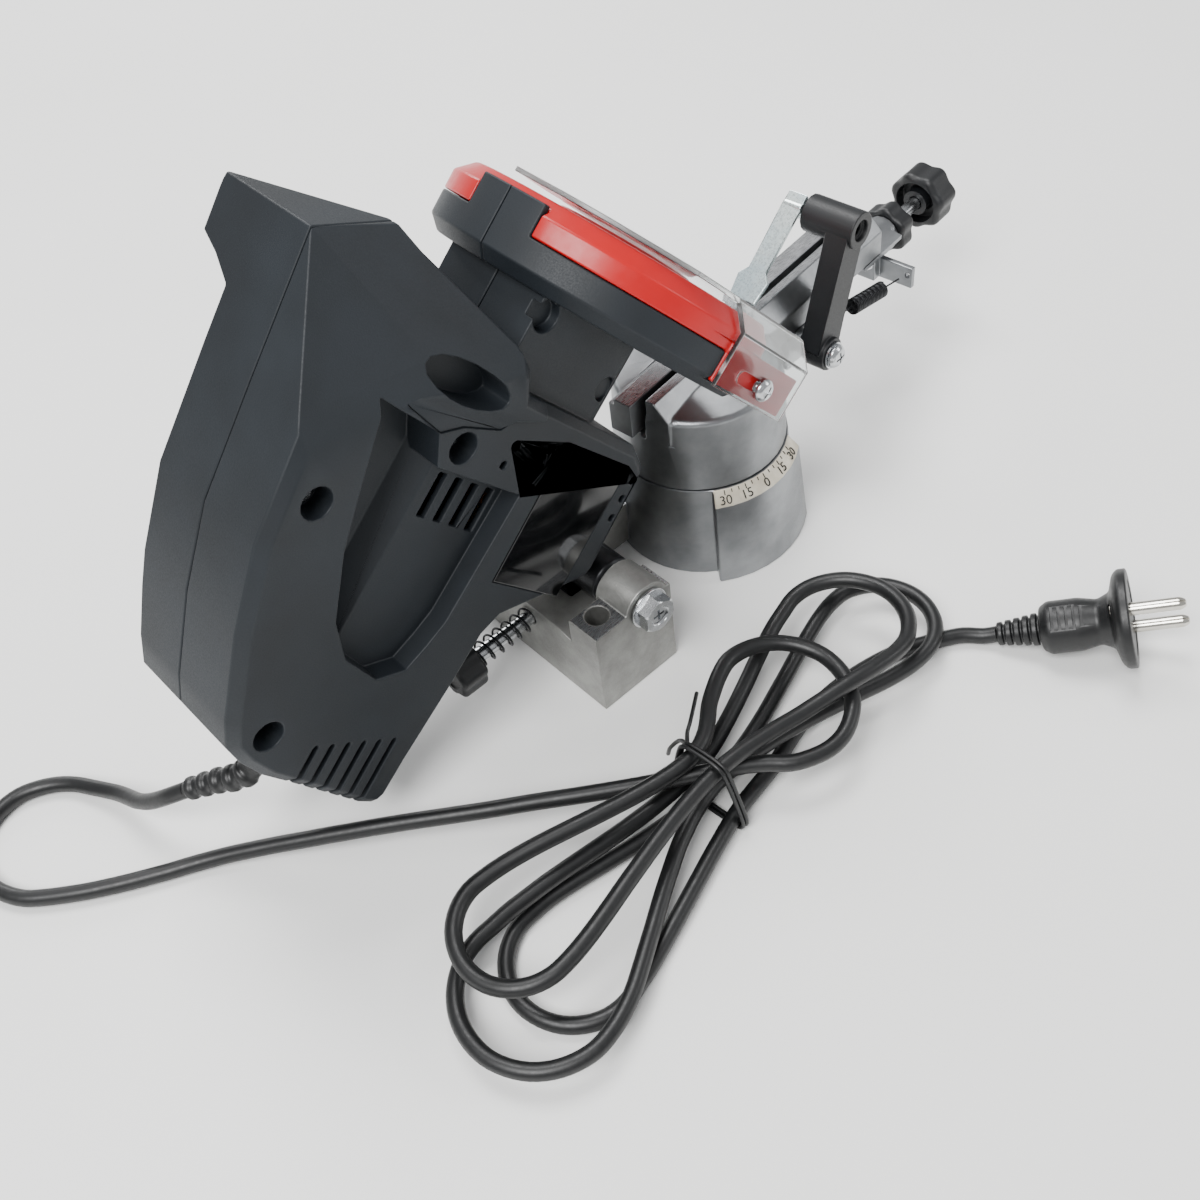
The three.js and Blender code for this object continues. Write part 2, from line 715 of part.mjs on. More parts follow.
function feedKnob() {
  const start = feedRodEnd - feedKnobLength + castWall;
  const end = start + feedKnobLength;
  const grip = starKnob(feedKnobRadius, 7, 'x', start + castWall, end, [0, feedHeight]);
  const skirtBack = starKnob(feedKnobRadius, 7, 'x', start, start + castWall * 2, [0, feedHeight]);
  const hollow = cut(rod(feedKnobRadius - castWall, 'x', start - overrun, start + castWall * 1.5, [0, feedHeight]),
    rod(feedRodRadius + castWall / 1.5, 'x', start - overrun, start + castWall * 2, [0, feedHeight]));
  const hole = rod(feedRodRadius + gap, 'x', start - overrun, feedRodEnd + gap, [0, feedHeight]);
  return cut(join(grip, skirtBack), hollow, hole);
}

put(vice, 'feed_knob', feedKnob(), looks.plastic);

// Carriage on the inner end of the feed screw
const carriageEnd = carriageStart + carriageLength;
const carriageTop = railBottom - gap - gap;
const carriageLow = feedHeight - bossRadius;
const armFar = armNear + armHubLength;

function stopCarriage() {
  const block = box(carriageStart, carriageEnd, frontJawFace, bossRadius, carriageLow, carriageTop);
  const lug = rod(carriageTop - feedHeight, 'y', armFar + gap, frontJawFace + overrun, [armPivotU, feedHeight]);
  const hole = rod(feedRodRadius + gap, 'x', feedRodStart - gap, carriageEnd + overrun, [0, feedHeight]);
  const pinHole = rod(armPinRadius + gap, 'y', armFar - overrun, frontJawFace + castWall,
    [armPivotU, feedHeight]);
  return cut(join(block, lug), hole, pinHole);
}

put(vice, 'stop_carriage', stopCarriage(), looks.cast);

// Pawl arm: two hubs, a flanged web and slanting ribs
function pawlArm() {
  const bottom = [armPivotU, feedHeight];
  const top = [armTopU, armTopHeight];
  const webLow = armNear + castWall / 2;
  const webHigh = webLow + castWall * 2.4;
  const lowHub = rod(armHubRadius, 'y', armNear, armFar, bottom);
  const topHub = rod(armTopRadius, 'y', armNear, armTopFar, top);
  const across = rotated([armHubRadius, 0], Math.atan2(top[1] - bottom[1], top[0] - bottom[0]) - Math.PI / 2);
  const outline = [[bottom[0] - across[0], bottom[1] - across[1]], [bottom[0] + across[0], bottom[1] + across[1]],
    [top[0] + across[0], top[1] + across[1]], [top[0] - across[0], top[1] - across[1]]];
  const web = prism(outline, 'y', webLow, webHigh);
  const windowCuts = [];
  const bays = 4;
  const inner = armHubRadius - castWall / 2;
  for (let k = 0; k < bays; k += 1) {
    const low = 0.24 + (0.54 * k) / bays;
    const high = low + 0.54 / bays - 0.03;
    const slant = k % 2 ? -0.06 : 0.06;
    const place = (share, side) => [
      bottom[0] + (top[0] - bottom[0]) * share + (across[0] * side * inner) / armHubRadius,
      bottom[1] + (top[1] - bottom[1]) * share + (across[1] * side * inner) / armHubRadius];
    const bay = [place(low, -1), place(low + slant, 1.5), place(high, 1.5), place(high + slant, -1)];
    windowCuts.push(prism(bay, 'y', webLow + castWall / 2, webHigh - castWall / 2));
  }
  const pinHole = rod(armPinRadius + gap, 'y', armNear - overrun, armFar + overrun, bottom);
  const topHole = rod(armPinRadius + gap, 'y', armNear - overrun, armTopFar + overrun, top);
  const headSeat = rod(pawlWidth / 2 + gap, 'y', armNear - overrun, armNear + castWall / 2, top);
  return cut(join(web, lowHub, topHub), ...windowCuts, pinHole, topHole, headSeat);
}

put(vice, 'pawl_arm', pawlArm(), looks.plastic);

// Pan screws: a shank and a rounded head with a cross recess. The head points down the axis or up it.
function panScrew(axis, place, seat, direction, length, radius = armPinRadius) {
  const headRadius = radius * 2;
  const headHeight = radius * 1.3;
  const up = (share) => seat + direction * headHeight * share;
  const [low, high] = direction < 0 ? [seat, seat + length] : [seat - length, seat];
  const profile = [[0, seat], [headRadius, seat], [headRadius, up(0.3)], [headRadius * 0.7, up(0.85)], [0, up(1)]];
  const top = turned(direction < 0 ? profile.reverse() : profile, axis, place, screwSides);
  const [long, thin] = [headRadius / 2, radius / 6];
  const cross = [[long, -thin], [long, thin], [thin, thin], [thin, long], [-thin, long], [-thin, thin],
    [-long, thin], [-long, -thin], [-thin, -thin], [-thin, -long], [thin, -long], [thin, -thin]]
    .map(([a, b]) => [place[0] + a, place[1] + b]);
  const [deep, clear] = [up(0.5), up(1) + direction * overrun];
  const recess = prism(cross, axis, Math.min(deep, clear), Math.max(deep, clear));
  return cut(join(rod(radius, axis, low, high, place, tinySides), top), recess);
}

put(vice, 'arm_pivot_screw', panScrew('y', [armPivotU, feedHeight], armNear - gap, -1,
  frontJawFace + castWall - gap - armNear), looks.steel);

// Pawl strip on its pin at the far end of the arm's top hub
const pawlNear = armTopFar + gap;
const pawlFar = pawlWidth / 2;
const pawlScrewRadius = armPinRadius * 0.8;
const pawlScrewLength = (pawlFar - pawlNear) / 2;
const pawlAngle = Math.atan2(pawlTipHeight - pawlPivotHeight, pawlTipU - pawlPivotU);

const pawlPlanShares = [[0, -0.29], [0.72, -0.29], [0.8, -0.5], [1, -0.42], [1, 0.42], [0.8, 0.5],
  [0.72, 0.29], [0, 0.29]];

function pawlBlock() {
  const knuckle = rod(pawlWidth / 2, 'y', pawlNear, pawlFar, [armTopU, armTopHeight]);
  const heel = slot([armTopU, armTopHeight], [pawlPivotU, pawlPivotHeight - pawlThick], pawlThick, 'y',
    pawlNear, pawlFar);
  const pin = rod(armPinRadius, 'y', armTopFar - castWall * 3, pawlNear + overrun, [armTopU, armTopHeight]);
  return { body: join(knuckle, heel), pin };
}

function pawlStrip() {
  const direction = [Math.cos(pawlAngle), Math.sin(pawlAngle)];
  const normal = [-direction[1], direction[0]];
  const at = (along, lift) => [pawlPivotU + direction[0] * along + normal[0] * lift,
    pawlPivotHeight + direction[1] * along + normal[1] * lift];
  const span = Math.hypot(pawlTipU - pawlPivotU, pawlTipHeight - pawlPivotHeight);
  const sheet = prism([at(-castWall, 0), at(span, 0), at(span, pawlThick), at(-castWall, pawlThick)], 'y',
    -pawlFlareWidth / 2, pawlFlareWidth / 2);
  const flat = pawlPlanShares.map(([a, b]) =>
    new THREE.Vector2(a * (span + castWall) - castWall, b * pawlFlareWidth));
  const geometry = new THREE.ExtrudeGeometry(new THREE.Shape(flat), { depth: reach, bevelEnabled: false });
  geometry.translate(0, 0, -reach / 2);
  const along = new THREE.Vector3(direction[0], 0, direction[1]);
  const up = new THREE.Vector3().crossVectors(along, Y);
  geometry.applyMatrix4(new THREE.Matrix4().makeBasis(along, Y, up).setPosition(pawlPivotU, 0, pawlPivotHeight));
  const block = pawlBlock();
  const screwWay = rod(pawlScrewRadius + gap, 'y', pawlFar - pawlScrewLength - gap, pawlFar + overrun,
    [armTopU, armTopHeight], tinySides);
  return cut(join(common(sheet, solid(geometry)), block.body, block.pin), screwWay);
}

put(vice, 'pawl_strip', pawlStrip(), looks.zinc);

// Screw that the pawl's pin is held by, and the spring that pulls the arm back
put(vice, 'pawl_screw', panScrew('y', [armTopU, armTopHeight], pawlFar + gap, 1,
  pawlScrewLength, pawlScrewRadius), looks.steel);

// Rings of points along a curve, joined into one closed bar. Each station holds a share and a radius.
function swept(curve, stations, sides) {
  const samples = 200;
  const spots = stations.map(([share]) => curve.getPointAt(share));
  const vertices = [];
  const faces = [];
  let side = null;
  let last = 0;
  stations.forEach(([share, radius], k) => {
    const steps = Math.max(1, Math.round((share - last) * samples));
    for (let step = 1; step <= steps; step += 1) {
      const forward = curve.getTangentAt(last + ((share - last) * step) / steps);
      if (!side) side = Math.abs(forward.z) > 0.8 ? X.clone() : Z.clone();
      side.addScaledVector(forward, -side.dot(forward)).normalize();
    }
    last = share;
    const forward = curve.getTangentAt(share);
    const other = new THREE.Vector3().crossVectors(forward, side);
    for (let n = 0; n < sides; n += 1) {
      const angle = ((n + 0.5) * 2 * Math.PI) / sides;
      const point = spots[k].clone().addScaledVector(side, radius * Math.cos(angle))
        .addScaledVector(other, radius * Math.sin(angle));
      vertices.push(point.x, point.y, point.z);
    }
  });
  for (let k = 0; k + 1 < stations.length; k += 1) {
    for (let n = 0; n < sides; n += 1) {
      const [a, b] = [k * sides + n, k * sides + ((n + 1) % sides)];
      faces.push(a, b, b + sides, a, b + sides, a + sides);
    }
  }
  const end = (stations.length - 1) * sides;
  for (let n = 1; n + 1 < sides; n += 1) {
    faces.push(0, n + 1, n);
    faces.push(end, end + n, end + n + 1);
  }
  const geometry = new THREE.BufferGeometry();
  geometry.setAttribute('position', new THREE.Float32BufferAttribute(vertices, 3));
  geometry.setIndex(faces);
  return solid(geometry);
}

class Coil extends THREE.Curve {
  constructor(radius, turns, centre, along, pitch, startAngle) {
    super();
    Object.assign(this, { radius, turns, pitch, startAngle });
    this.centre = new THREE.Vector3(...centre);
    this.along = new THREE.Vector3(...along).normalize();
    this.side = new THREE.Vector3().crossVectors(this.along, Y).normalize();
    if (Math.abs(this.along.y) > 0.9) this.side = X.clone();
    this.other = new THREE.Vector3().crossVectors(this.along, this.side).normalize();
  }

  getPoint(t, target = new THREE.Vector3()) {
    const angle = this.startAngle + 2 * Math.PI * this.turns * t;
    return target.copy(this.centre).addScaledVector(this.along, this.pitch * Math.abs(this.turns) * t)
      .addScaledVector(this.side, this.radius * Math.cos(angle))
      .addScaledVector(this.other, this.radius * Math.sin(angle));
  }
}

// A coil spring: the curls and a straight hook at each end.
function coilSpring(coil, startHook, endHook, wire) {
  const points = [];
  const steps = Math.round(Math.abs(coil.turns) * curlSteps);
  if (startHook) points.push(...startHook.map((point) => new THREE.Vector3(...point)));
  for (let k = 0; k <= steps; k += 1) points.push(coil.getPoint(k / steps));
  if (endHook) points.push(...endHook.map((point) => new THREE.Vector3(...point)));
  return bent(points, wire / 2, curlSides);
}

// A bar through a list of points, mitred at each one.
function bent(points, radius, sides) {
  const vertices = [];
  const faces = [];
  let side = null;
  points.forEach((point, k) => {
    const before = points[Math.max(k - 1, 0)];
    const after = points[Math.min(k + 1, points.length - 1)];
    const forward = after.clone().sub(before).normalize();
    if (!side) side = Math.abs(forward.z) > 0.8 ? X.clone() : Z.clone();
    side.addScaledVector(forward, -side.dot(forward)).normalize();
    const other = new THREE.Vector3().crossVectors(forward, side);
    for (let n = 0; n < sides; n += 1) {
      const angle = ((n + 0.5) * 2 * Math.PI) / sides;
      const place = point.clone().addScaledVector(side, radius * Math.cos(angle))
        .addScaledVector(other, radius * Math.sin(angle));
      vertices.push(place.x, place.y, place.z);
    }
  });
  for (let k = 0; k + 1 < points.length; k += 1) {
    for (let n = 0; n < sides; n += 1) {
      const [a, b] = [k * sides + n, k * sides + ((n + 1) % sides)];
      faces.push(a, b, b + sides, a, b + sides, a + sides);
    }
  }
  const end = (points.length - 1) * sides;
  for (let n = 1; n + 1 < sides; n += 1) {
    faces.push(0, n + 1, n);
    faces.push(end, end + n, end + n + 1);
  }
  const geometry = new THREE.BufferGeometry();
  geometry.setAttribute('position', new THREE.Float32BufferAttribute(vertices, 3));
  geometry.setIndex(faces);
  return solid(geometry);
}

const armLean = Math.atan2(armTopU - armPivotU, armTopHeight - feedHeight);
const armSpringHeight = feedHeight + (armTopHeight - feedHeight) * armSpringShare;
const armSpringStart = [armPivotU + (armSpringHeight - feedHeight) * Math.tan(armLean)
  + (armHubRadius + gap + armSpringWire / 2) / Math.cos(armLean), armSpringV, armSpringHeight];
const armSpringEnd = [bracketStart, armSpringV, bracketLow + castWall * 1.5];

function armSpring() {
  const start = new THREE.Vector3(...armSpringStart);
  const along = new THREE.Vector3(...armSpringEnd).sub(start);
  const length = along.length();
  const lead = armSpringLeadShare;
  const coilStart = start.clone().addScaledVector(along, lead);
  const pitch = (length * (1 - 2 * lead)) / armSpringTurns;
  const coil = new Coil(armSpringRadius - armSpringWire / 2, armSpringTurns, coilStart.toArray(),
    along.toArray(), pitch, 0);
  return coilSpring(coil, [start.toArray(), start.clone().addScaledVector(along, lead * 0.8).toArray()],
    [start.clone().addScaledVector(along, 1 - lead * 0.8).toArray(), armSpringEnd], armSpringWire);
}

put(vice, 'arm_spring', armSpring(), looks.blackSteel);

// Head: the two housing halves carry the motor, the neck and the back of the wheel guard
const outlineShares = [
  [0.933, 0.998], [0.681, 0.964], [0.468, 0.932], [0.308, 0.871], [0.151, 0.791], [0.099, 0.755],
  [0.071, 0.699], [0.049, 0.626], [0.038, 0.552], [0, 0.319], [0, 0.276], [0.027, 0.258],
  [0.11, 0.256], [0.282, 0.242], [0.397, 0.237], [0.437, 0.218], [0.467, 0.166], [0.544, 0.031],
  [0.562, 0.009], [0.588, 0.001], [0.813, 0.021], [0.843, 0.086], [0.854, 0.497], [0.892, 0.527],
  [0.921, 0.586], [0.978, 0.791], [0.998, 0.842]];
const gripShares = [
  [0.771, 0.829], [0.738, 0.674], [0.761, 0.625], [0.779, 0.529], [0.804, 0.509], [0.825, 0.436],
  [0.87, 0.436], [1.02, 0.6], [1.02, 1.02], [0.796, 1.02]];
const planShares = [
  [0, 0.031], [0.78, 0.031], [0.813, 0], [1, 0], [1, 0.409], [0.934, 0.95], [0.841, 1],
  [0.813, 0.849], [0.78, 0.728], [0.242, 0.728], [0, 0.686]];
const facetShares = [
  [0.933, 0, 0.998], [0.626, 1, 0.951], [0.89, 1, 0.632], [1, 0.12, 0.828], [0.885, 1, 0.607]];
const pocketShares = [
  [0.681, 0.374], [0.681, 0.632], [0.738, 0.674], [0.755, 0.833], [0.607, 0.784], [0.496, 0.744],
  [0.37, 0.673], [0.305, 0.598], [0.275, 0.488], [0.303, 0.42], [0.356, 0.399], [0.407, 0.383]];
const labelShares = [[0.801, 0.32], [0.509, 0.311], [0.51, 0.083], [0.801, 0.09]];
const neckShares = [[0, 1], [0, 0.271], [0.283, 0], [0.717, 0], [1, 0.271], [1, 1]];
const housingScrewShares = [[0.565, 0.864], [0.139, 0.687], [0.727, 0.594], [0.545, 0.137]];
const neckHoleShares = [[0.84, 0.93], [0.43, 0.29]];
const ventHoleShares = [
  [0.763, 0.463], [0.723, 0.466], [0.781, 0.361], [0.74, 0.361], [0.698, 0.356], [0.781, 0.05],
  [0.74, 0.052], [0.697, 0.049]];
const shape = (shares) => scaled(shares, housingStart, housingLength, housingLow, housingTall);
const outline = shape(outlineShares);
const plan = scaled(planShares, housingStart, housingLength, gripFront, gripBack - gripFront);
const facetPoints = facetShares.map(([a, b, c]) => [housingStart + a * housingLength, b * housingFront,
  housingLow + c * housingTall]);
const frontInside = housingFront + shellWall;
const backInside = housingBack - shellWall;
const screwSeatY = housingFront + screwSeatDepth;
const motorCentre = [0, motorHeight];
const housingMiddle = [0, 0, housingLow + housingTall / 2];

// A prism along y whose two end faces have rounded edges.
function cushioned(points, low, high, round) {
  const flat = new THREE.Shape(points.map(([a, b]) => new THREE.Vector2(a, b)));
  const geometry = new THREE.ExtrudeGeometry(flat, {
    depth: high - low - 2 * round,
    bevelEnabled: true,
    bevelThickness: round,
    bevelSize: round,
    bevelOffset: -round,
    bevelSegments: 1,
  });
  geometry.applyMatrix4(new THREE.Matrix4().makeBasis(X, Z, Y.clone().negate()).setPosition(0, high - round, 0));
  return solid(geometry);
}

// The two sloping facets that meet in a ridge on the grip.
function facets(depth) {
  const [ridge, slope, foot, tip, nose] = facetPoints;
  return [beyond([ridge, slope, foot], housingMiddle, depth), beyond([ridge, tip, nose], housingMiddle, depth)];
}

function housingOuter() {
  const body = cushioned(outline, housingFront, gripBack, edgeRound);
  const grip = common(cushioned(outline, gripFront, gripBack, edgeRound),
    prism(shape(gripShares), 'y', gripFront - overrun, gripBack));
  const planned = common(join(body, grip), prism(plan, 'z', housingLow - overrun, housingLow + housingTall));
  return cut(planned, box(-reach, reach, housingBack, reach, -reach, gripLow), ...facets(0));
}

function fingerPocket(wall) {
  const edge = prism(inset(shape(pocketShares), -wall), 'y', gripFront - overrun, gripBack);
  const shallow = housingFront + pocketDepth + wall;
  const deep = housingFront + pocketDeepest + wall;
  const far = gripFront - overrun;
  const section = [[far, housingLow], [shallow, housingLow], [shallow, pocketStep - wall],
    [deep, pocketStep + pocketDeepest - pocketDepth - wall], [deep, housingLow + housingTall],
    [far, housingLow + housingTall]];
  return common(edge, prism(section, 'x', housingStart, housingStart + housingLength));
}

function gripCup(wall) {
  const oval = ring(1, cupSides).map(([a, b]) => [cupX + a * (cupWidth / 2 + wall),
    cupHeight + b * (cupTall / 2 + wall)]);
  return prism(oval, 'y', gripFront - overrun, gripFront + cupDepth + wall);
}

const neckOutline = scaled(neckShares, neckFront, neckWidth, neckLow, neckTall);
const neckHoles = scaled(neckHoleShares, neckStart, neckEnd - neckStart, neckLow, neckTall);
const housingScrews = shape(housingScrewShares);
housingScrews[3][1] = motorHeight - commutatorRadius - bossClear - bossOuter;
const rearSeatHalf = bearingRadius + castWall;
const seatEnd = frontBearingStart - shellWall;
const clampStart = housingStart + clampInset;
const clampEnd = clampStart + clampLength;

const armWebOutline = scaled(armWebShares, armWebStart, armWebWidth, 0, armWebTop);

// Ribs, seats and screw bosses that stand inside the housing.
function innerFrame() {
  const [low, high] = [frontInside - overrun, backInside + overrun / 2];
  const rearSeat = box(rearBearingStart - castWall, rearBearingStart + bearingLength, low, high,
    motorHeight - rearSeatHalf, motorHeight + rearSeatHalf);
  const cradles = cradleShares.map((share) => {
    const start = coreStart + coreLength * share;
    return box(start, start + shellWall, low, high, motorHeight - coreRadius - shellWall,
      motorHeight + coreRadius + shellWall);
  });
  const bosses = housingScrews.map((place) => rod(bossOuter, 'y', low, high, place));
  const post = box(clampStart, clampEnd, clampSplit, high, cordExitHeight - clampHalf, cordExitHeight + clampHalf);
  const neckPost = rod(screwHoleRadius + gap, 'y', neckFront + shellWall - gap, neckFront + castWall + overrun,
    neckHoles[1]);
  return join(rearSeat, ...cradles, ...bosses, post, neckPost);
}

// Everything below the slanting lower edge of the guard.
function guardCut() {
  const slope = (cutLeftDrop - cutRightDrop) / (cutRightY + guardRadius);
  const line = (y) => motorHeight - cutLeftDrop + (y + guardRadius) * slope;
  const far = guardRadius * 2;
  return prism([[-far, line(-far)], [-far, -reach], [far, -reach], [far, line(far)]], 'x', 0, reach);
}

function guardShell() {
  const inner = guardRadius - guardWall;
  const shell = turned([[0, guardBack], [guardRadius - guardChamfer, guardBack],
    [guardRadius, guardBack + guardChamfer], [guardRadius, guardJoint], [inner, guardJoint],
    [inner, guardBack + guardChamfer + guardWall / 2], [inner - guardChamfer + guardWall / 2, guardBack + guardWall],
    [0, guardBack + guardWall]], 'x', motorCentre, largeSides);
  const tabs = common(guardBand(0, guardJoint - guardWall, tabReach), tabSpan(tabHalfWidth));
  return cut(join(shell, tabs), guardCut(), shieldPost(gap));
}

function guardBand(clear, low, high) {
  return cut(rod(guardRadius + clear * overrun, 'x', low, high, motorCentre, largeSides),
    rod(guardRadius - guardWall - clear, 'x', low - overrun, high + overrun, motorCentre, largeSides));
}

const tabSpan = (half) => box(0, reach, -half, half, motorHeight + guardRadius / 2, reach);

// Slotted post that stands in front of the guard and holds the clear shield
function shieldPost(clear) {
  return box(postStart - clear, postEnd, -guardRadius - clear * overrun, postInside + clear,
    shieldLow + shieldThick - clear, postTop + clear);
}

function housing() {
  const neck = prism(neckOutline, 'x', neckStart, guardBack + guardWall / 2);
  const outer = join(housingOuter(), neck, guardShell());
  const neckCavity = prism(inset(neckOutline, shellWall), 'x', neckStart - castWall, seatEnd);
  const inner = common(prism(inset(outline, shellWall), 'y', frontInside, gripBack),
    prism(inset(plan, shellWall), 'z', housingLow, housingLow + housingTall));
  const bodyCavity = cut(inner, box(-reach, reach, backInside, reach, -reach, gripLow + shellWall),
    ...facets(shellWall), fingerPocket(shellWall), gripCup(shellWall));
  const hollow = cut(join(bodyCavity, neckCavity), innerFrame());
  const seats = [
    rod(bearingRadius + gap, 'x', rearBearingStart - gap, rearBearingStart + bearingLength + overrun,
      motorCentre, roundSides),
    rod(shaftRadius + clampSplit, 'x', rearBearingStart - overrun, rearBearingStart, motorCentre),
    rod(coreRadius + gap, 'x', coreStart - gap, coreStart + coreLength + gap, motorCentre, largeSides),
    rod(bearingRadius + gap, 'x', seatEnd - overrun, frontBearingStart + bearingLength + gap, motorCentre, roundSides),
    rod(shaftRadius + clampSplit, 'x', frontBearingStart, guardBack + guardWall + overrun, motorCentre),
  ];
  const far = gripFront - overrun;
  const labelSeat = prism(inset(shape(labelShares), -gap), 'y', far, housingFront + labelThick + gap);
  const ventHoles = shape(ventHoleShares).map((place) => rod(ventHoleRadius, 'y', far, frontInside + overrun,
    place, tinySides));
  const vents = Array.from({ length: slotCount }, (_, k) => {
    const z = slotFirst + k * slotPitch;
    const tip = slotTip - (k * (slotTipSpread)) / slotCount;
    return prism([[housingStart - overrun, z - slotHalf], [tip, z - slotHalf], [tip + slotHalf, z],
      [tip, z + slotHalf], [housingStart - overrun, z + slotHalf]], 'y', far, housingFront + slotDepth);
  });
  const louvres = Array.from({ length: louvreCount }, (_, k) => box(louvreStart, louvreStart + louvreLength, far,
    housingFront + pocketDepth + shellWall + overrun, louvreFirst + k * louvrePitch,
    louvreFirst + k * louvrePitch + louvreHalf * 2));
  const screwWays = [
    ...housingScrews.map((place) => rod(screwHoleRadius, 'y', far, screwSeatY, place)),
    ...housingScrews.map((place) => rod(screwShankRadius + gap, 'y', screwSeatY - overrun, screwEndY + gap,
      place, tinySides)),
    rod(screwHoleRadius, 'y', neckFront - overrun, neckFront + castWall, neckHoles[0]),
    rod(screwHoleRadius - overrun / 2, 'y', neckFront - overrun, neckFront + shellWall, neckHoles[1])];
  const armWay = prism(inset(armWebOutline, -gap), 'y', -armWebDepth / 2 - gap, armWebDepth / 2 + gap);
  const cordWay = rod(bootNeckRadius + gap, 'x', housingStart - overrun, clampEnd + overrun, [0, cordExitHeight]);
  const switchWay = box(switchX - switchLength / 2 + switchFlange, switchX + switchLength / 2 - switchFlange,
    housingBack - switchDepth - gap, housingBack + overrun, switchHeight - switchWidth / 2 + switchFlange,
    switchHeight + switchWidth / 2 - switchFlange);
  return cut(outer, hollow, ...seats, fingerPocket(0), gripCup(0), labelSeat, ...ventHoles, ...vents,
    ...louvres, ...screwWays, armWay, cordWay, switchWay);
}

const shell = housing();
put(head, 'housing_front', common(shell, box(-reach, reach, -reach, -gap / 2, -reach, reach)), looks.housing);
put(head, 'housing_rear', common(shell, box(-reach, reach, gap / 2, reach, -reach, reach)), looks.housing);
housingScrews.forEach((place, k) => {
  put(head, `housing_screw_${k + 1}`, panScrew('y', place, screwSeatY - gap, -1, screwEndY - screwSeatY,
    screwShankRadius), looks.steel);
});
put(head, 'label_plate', prism(shape(labelShares), 'y', housingFront, housingFront + labelThick), looks.label);

// Red cover over the front of the wheel
function guardCover() {
  const start = guardJoint + gap;
  const inner = guardRadius - guardWall;
  const shoulder = coverFace - coverDrop;
  const cover = turned([[0, coverFace + plateauRise], [plateauRadius, coverFace + plateauRise],
    [plateauRadius + plateauRise, coverFace], [guardRadius - coverChamfer, coverFace], [guardRadius, shoulder],
    [guardRadius, start], [inner, start], [inner, shoulder - guardWall / 2],
    [inner - coverChamfer, coverFace - guardWall], [plateauRadius - guardWall, coverFace - guardWall],
    [plateauRadius - guardWall - plateauRise, coverFace - guardWall + plateauRise],
    [0, coverFace - guardWall + plateauRise]].reverse(), 'x', motorCentre, largeSides);
  const notch = common(guardBand(gap, guardJoint - overrun, tabReach + gap), tabSpan(tabHalfWidth + gap));
  const post = cut(shieldPost(0), rod(screwShankRadius + gap, 'y', -guardRadius - overrun, postInside + overrun,
    [shieldScrewX, shieldScrewHeight], tinySides));
  return join(cut(cover, notch, guardCut()), post);
}

put(head, 'guard_cover', guardCover(), looks.red);

// Clear shield: a folded sheet, drawn along its edge and cut by its face outline
function clearShield() {
  const back = shieldY + shieldThick;
  const edge = [[shieldBackX, shieldY], [shieldFoldX, shieldY], [shieldFaceX + shieldThick, shieldFaceY],
    [shieldFaceX + shieldThick, shieldRimY], [shieldFaceX, shieldRimY],
    [shieldFaceX, shieldFaceY + shieldThick / 2], [shieldFoldX - shieldThick / 2, back], [shieldBackX, back]];
  const sheet = prism(edge, 'z', shieldLow, motorHeight + guardRadius);
  const rim = shieldRimShares.map(([a, b]) => [shieldRimY + a * (shieldRimY - shieldFaceY),
    shieldHigh + b * (motorHeight + guardRadius - shieldHigh)]);
  const above = prism(rim, 'x', shieldBackX - overrun, shieldFaceX + shieldThick + overrun);
  const way = slot([shieldScrewX, shieldScrewHeight], [shieldScrewX, shieldSlotTop], screwShankRadius + gap, 'y',
    shieldY - overrun, back + overrun);
  return cut(sheet, above, way);
}

put(head, 'shield', clearShield(), looks.clear);
put(head, 'shield_screw', panScrew('y', [shieldScrewX, shieldScrewHeight], shieldY - gap, -1,
  postInside - shieldY + screwShankRadius, screwShankRadius), looks.steel);

// Motor, shaft and wheel
const alongShaft = (radius, start, length, sides = roundSides) => rod(radius, 'x', start, start + length, motorCentre, sides);
const shaftHole = () => rod(shaftRadius + gap, 'x', -reach, reach, motorCentre);
const wheelStart = wheelX - wheelThick / 2;
const wheelEnd = wheelX + wheelThick / 2;
const flangeStart = wheelStart - gap - flangeThick;
const nutStart = wheelEnd + gap;
const shaftEnd = nutStart + nutLength + nutFlange + overrun / 2;

function grindingWheel() {
  return cut(alongShaft(wheelRadius, wheelStart, wheelThick, largeSides),
    alongShaft(wheelBore / 2, wheelStart - overrun, wheelThick + overrun * 2, wideSides));
}

function innerFlange() {
  const spigot = alongShaft(wheelBore / 2 - gap, flangeStart, flangeThick + wheelThick);
  return cut(join(alongShaft(flangeRadius, flangeStart, flangeThick), spigot), shaftHole());
}

function wheelNut() {
  const hex = prism(ring(nutRadius, 6, motorCentre), 'x', nutStart, nutStart + nutFlange + nutLength);
  return cut(join(alongShaft(flangeRadius, nutStart, nutFlange), hex), shaftHole());
}

put(head, 'grinding_wheel', grindingWheel(), looks.abrasive);
put(head, 'inner_flange', innerFlange(), looks.steel);
put(head, 'wheel_nut', wheelNut(), looks.steel);
put(head, 'motor_shaft', alongShaft(shaftRadius, rearBearingStart - overrun / 2,
  shaftEnd - rearBearingStart + overrun / 2), looks.steel);

function armatureCore() {
  const windings = alongShaft(rotorRadius - overrun, coreStart - windingLength,
    coreLength + windingLength * 2);
  return cut(join(alongShaft(rotorRadius, coreStart, coreLength), windings), shaftHole());
}

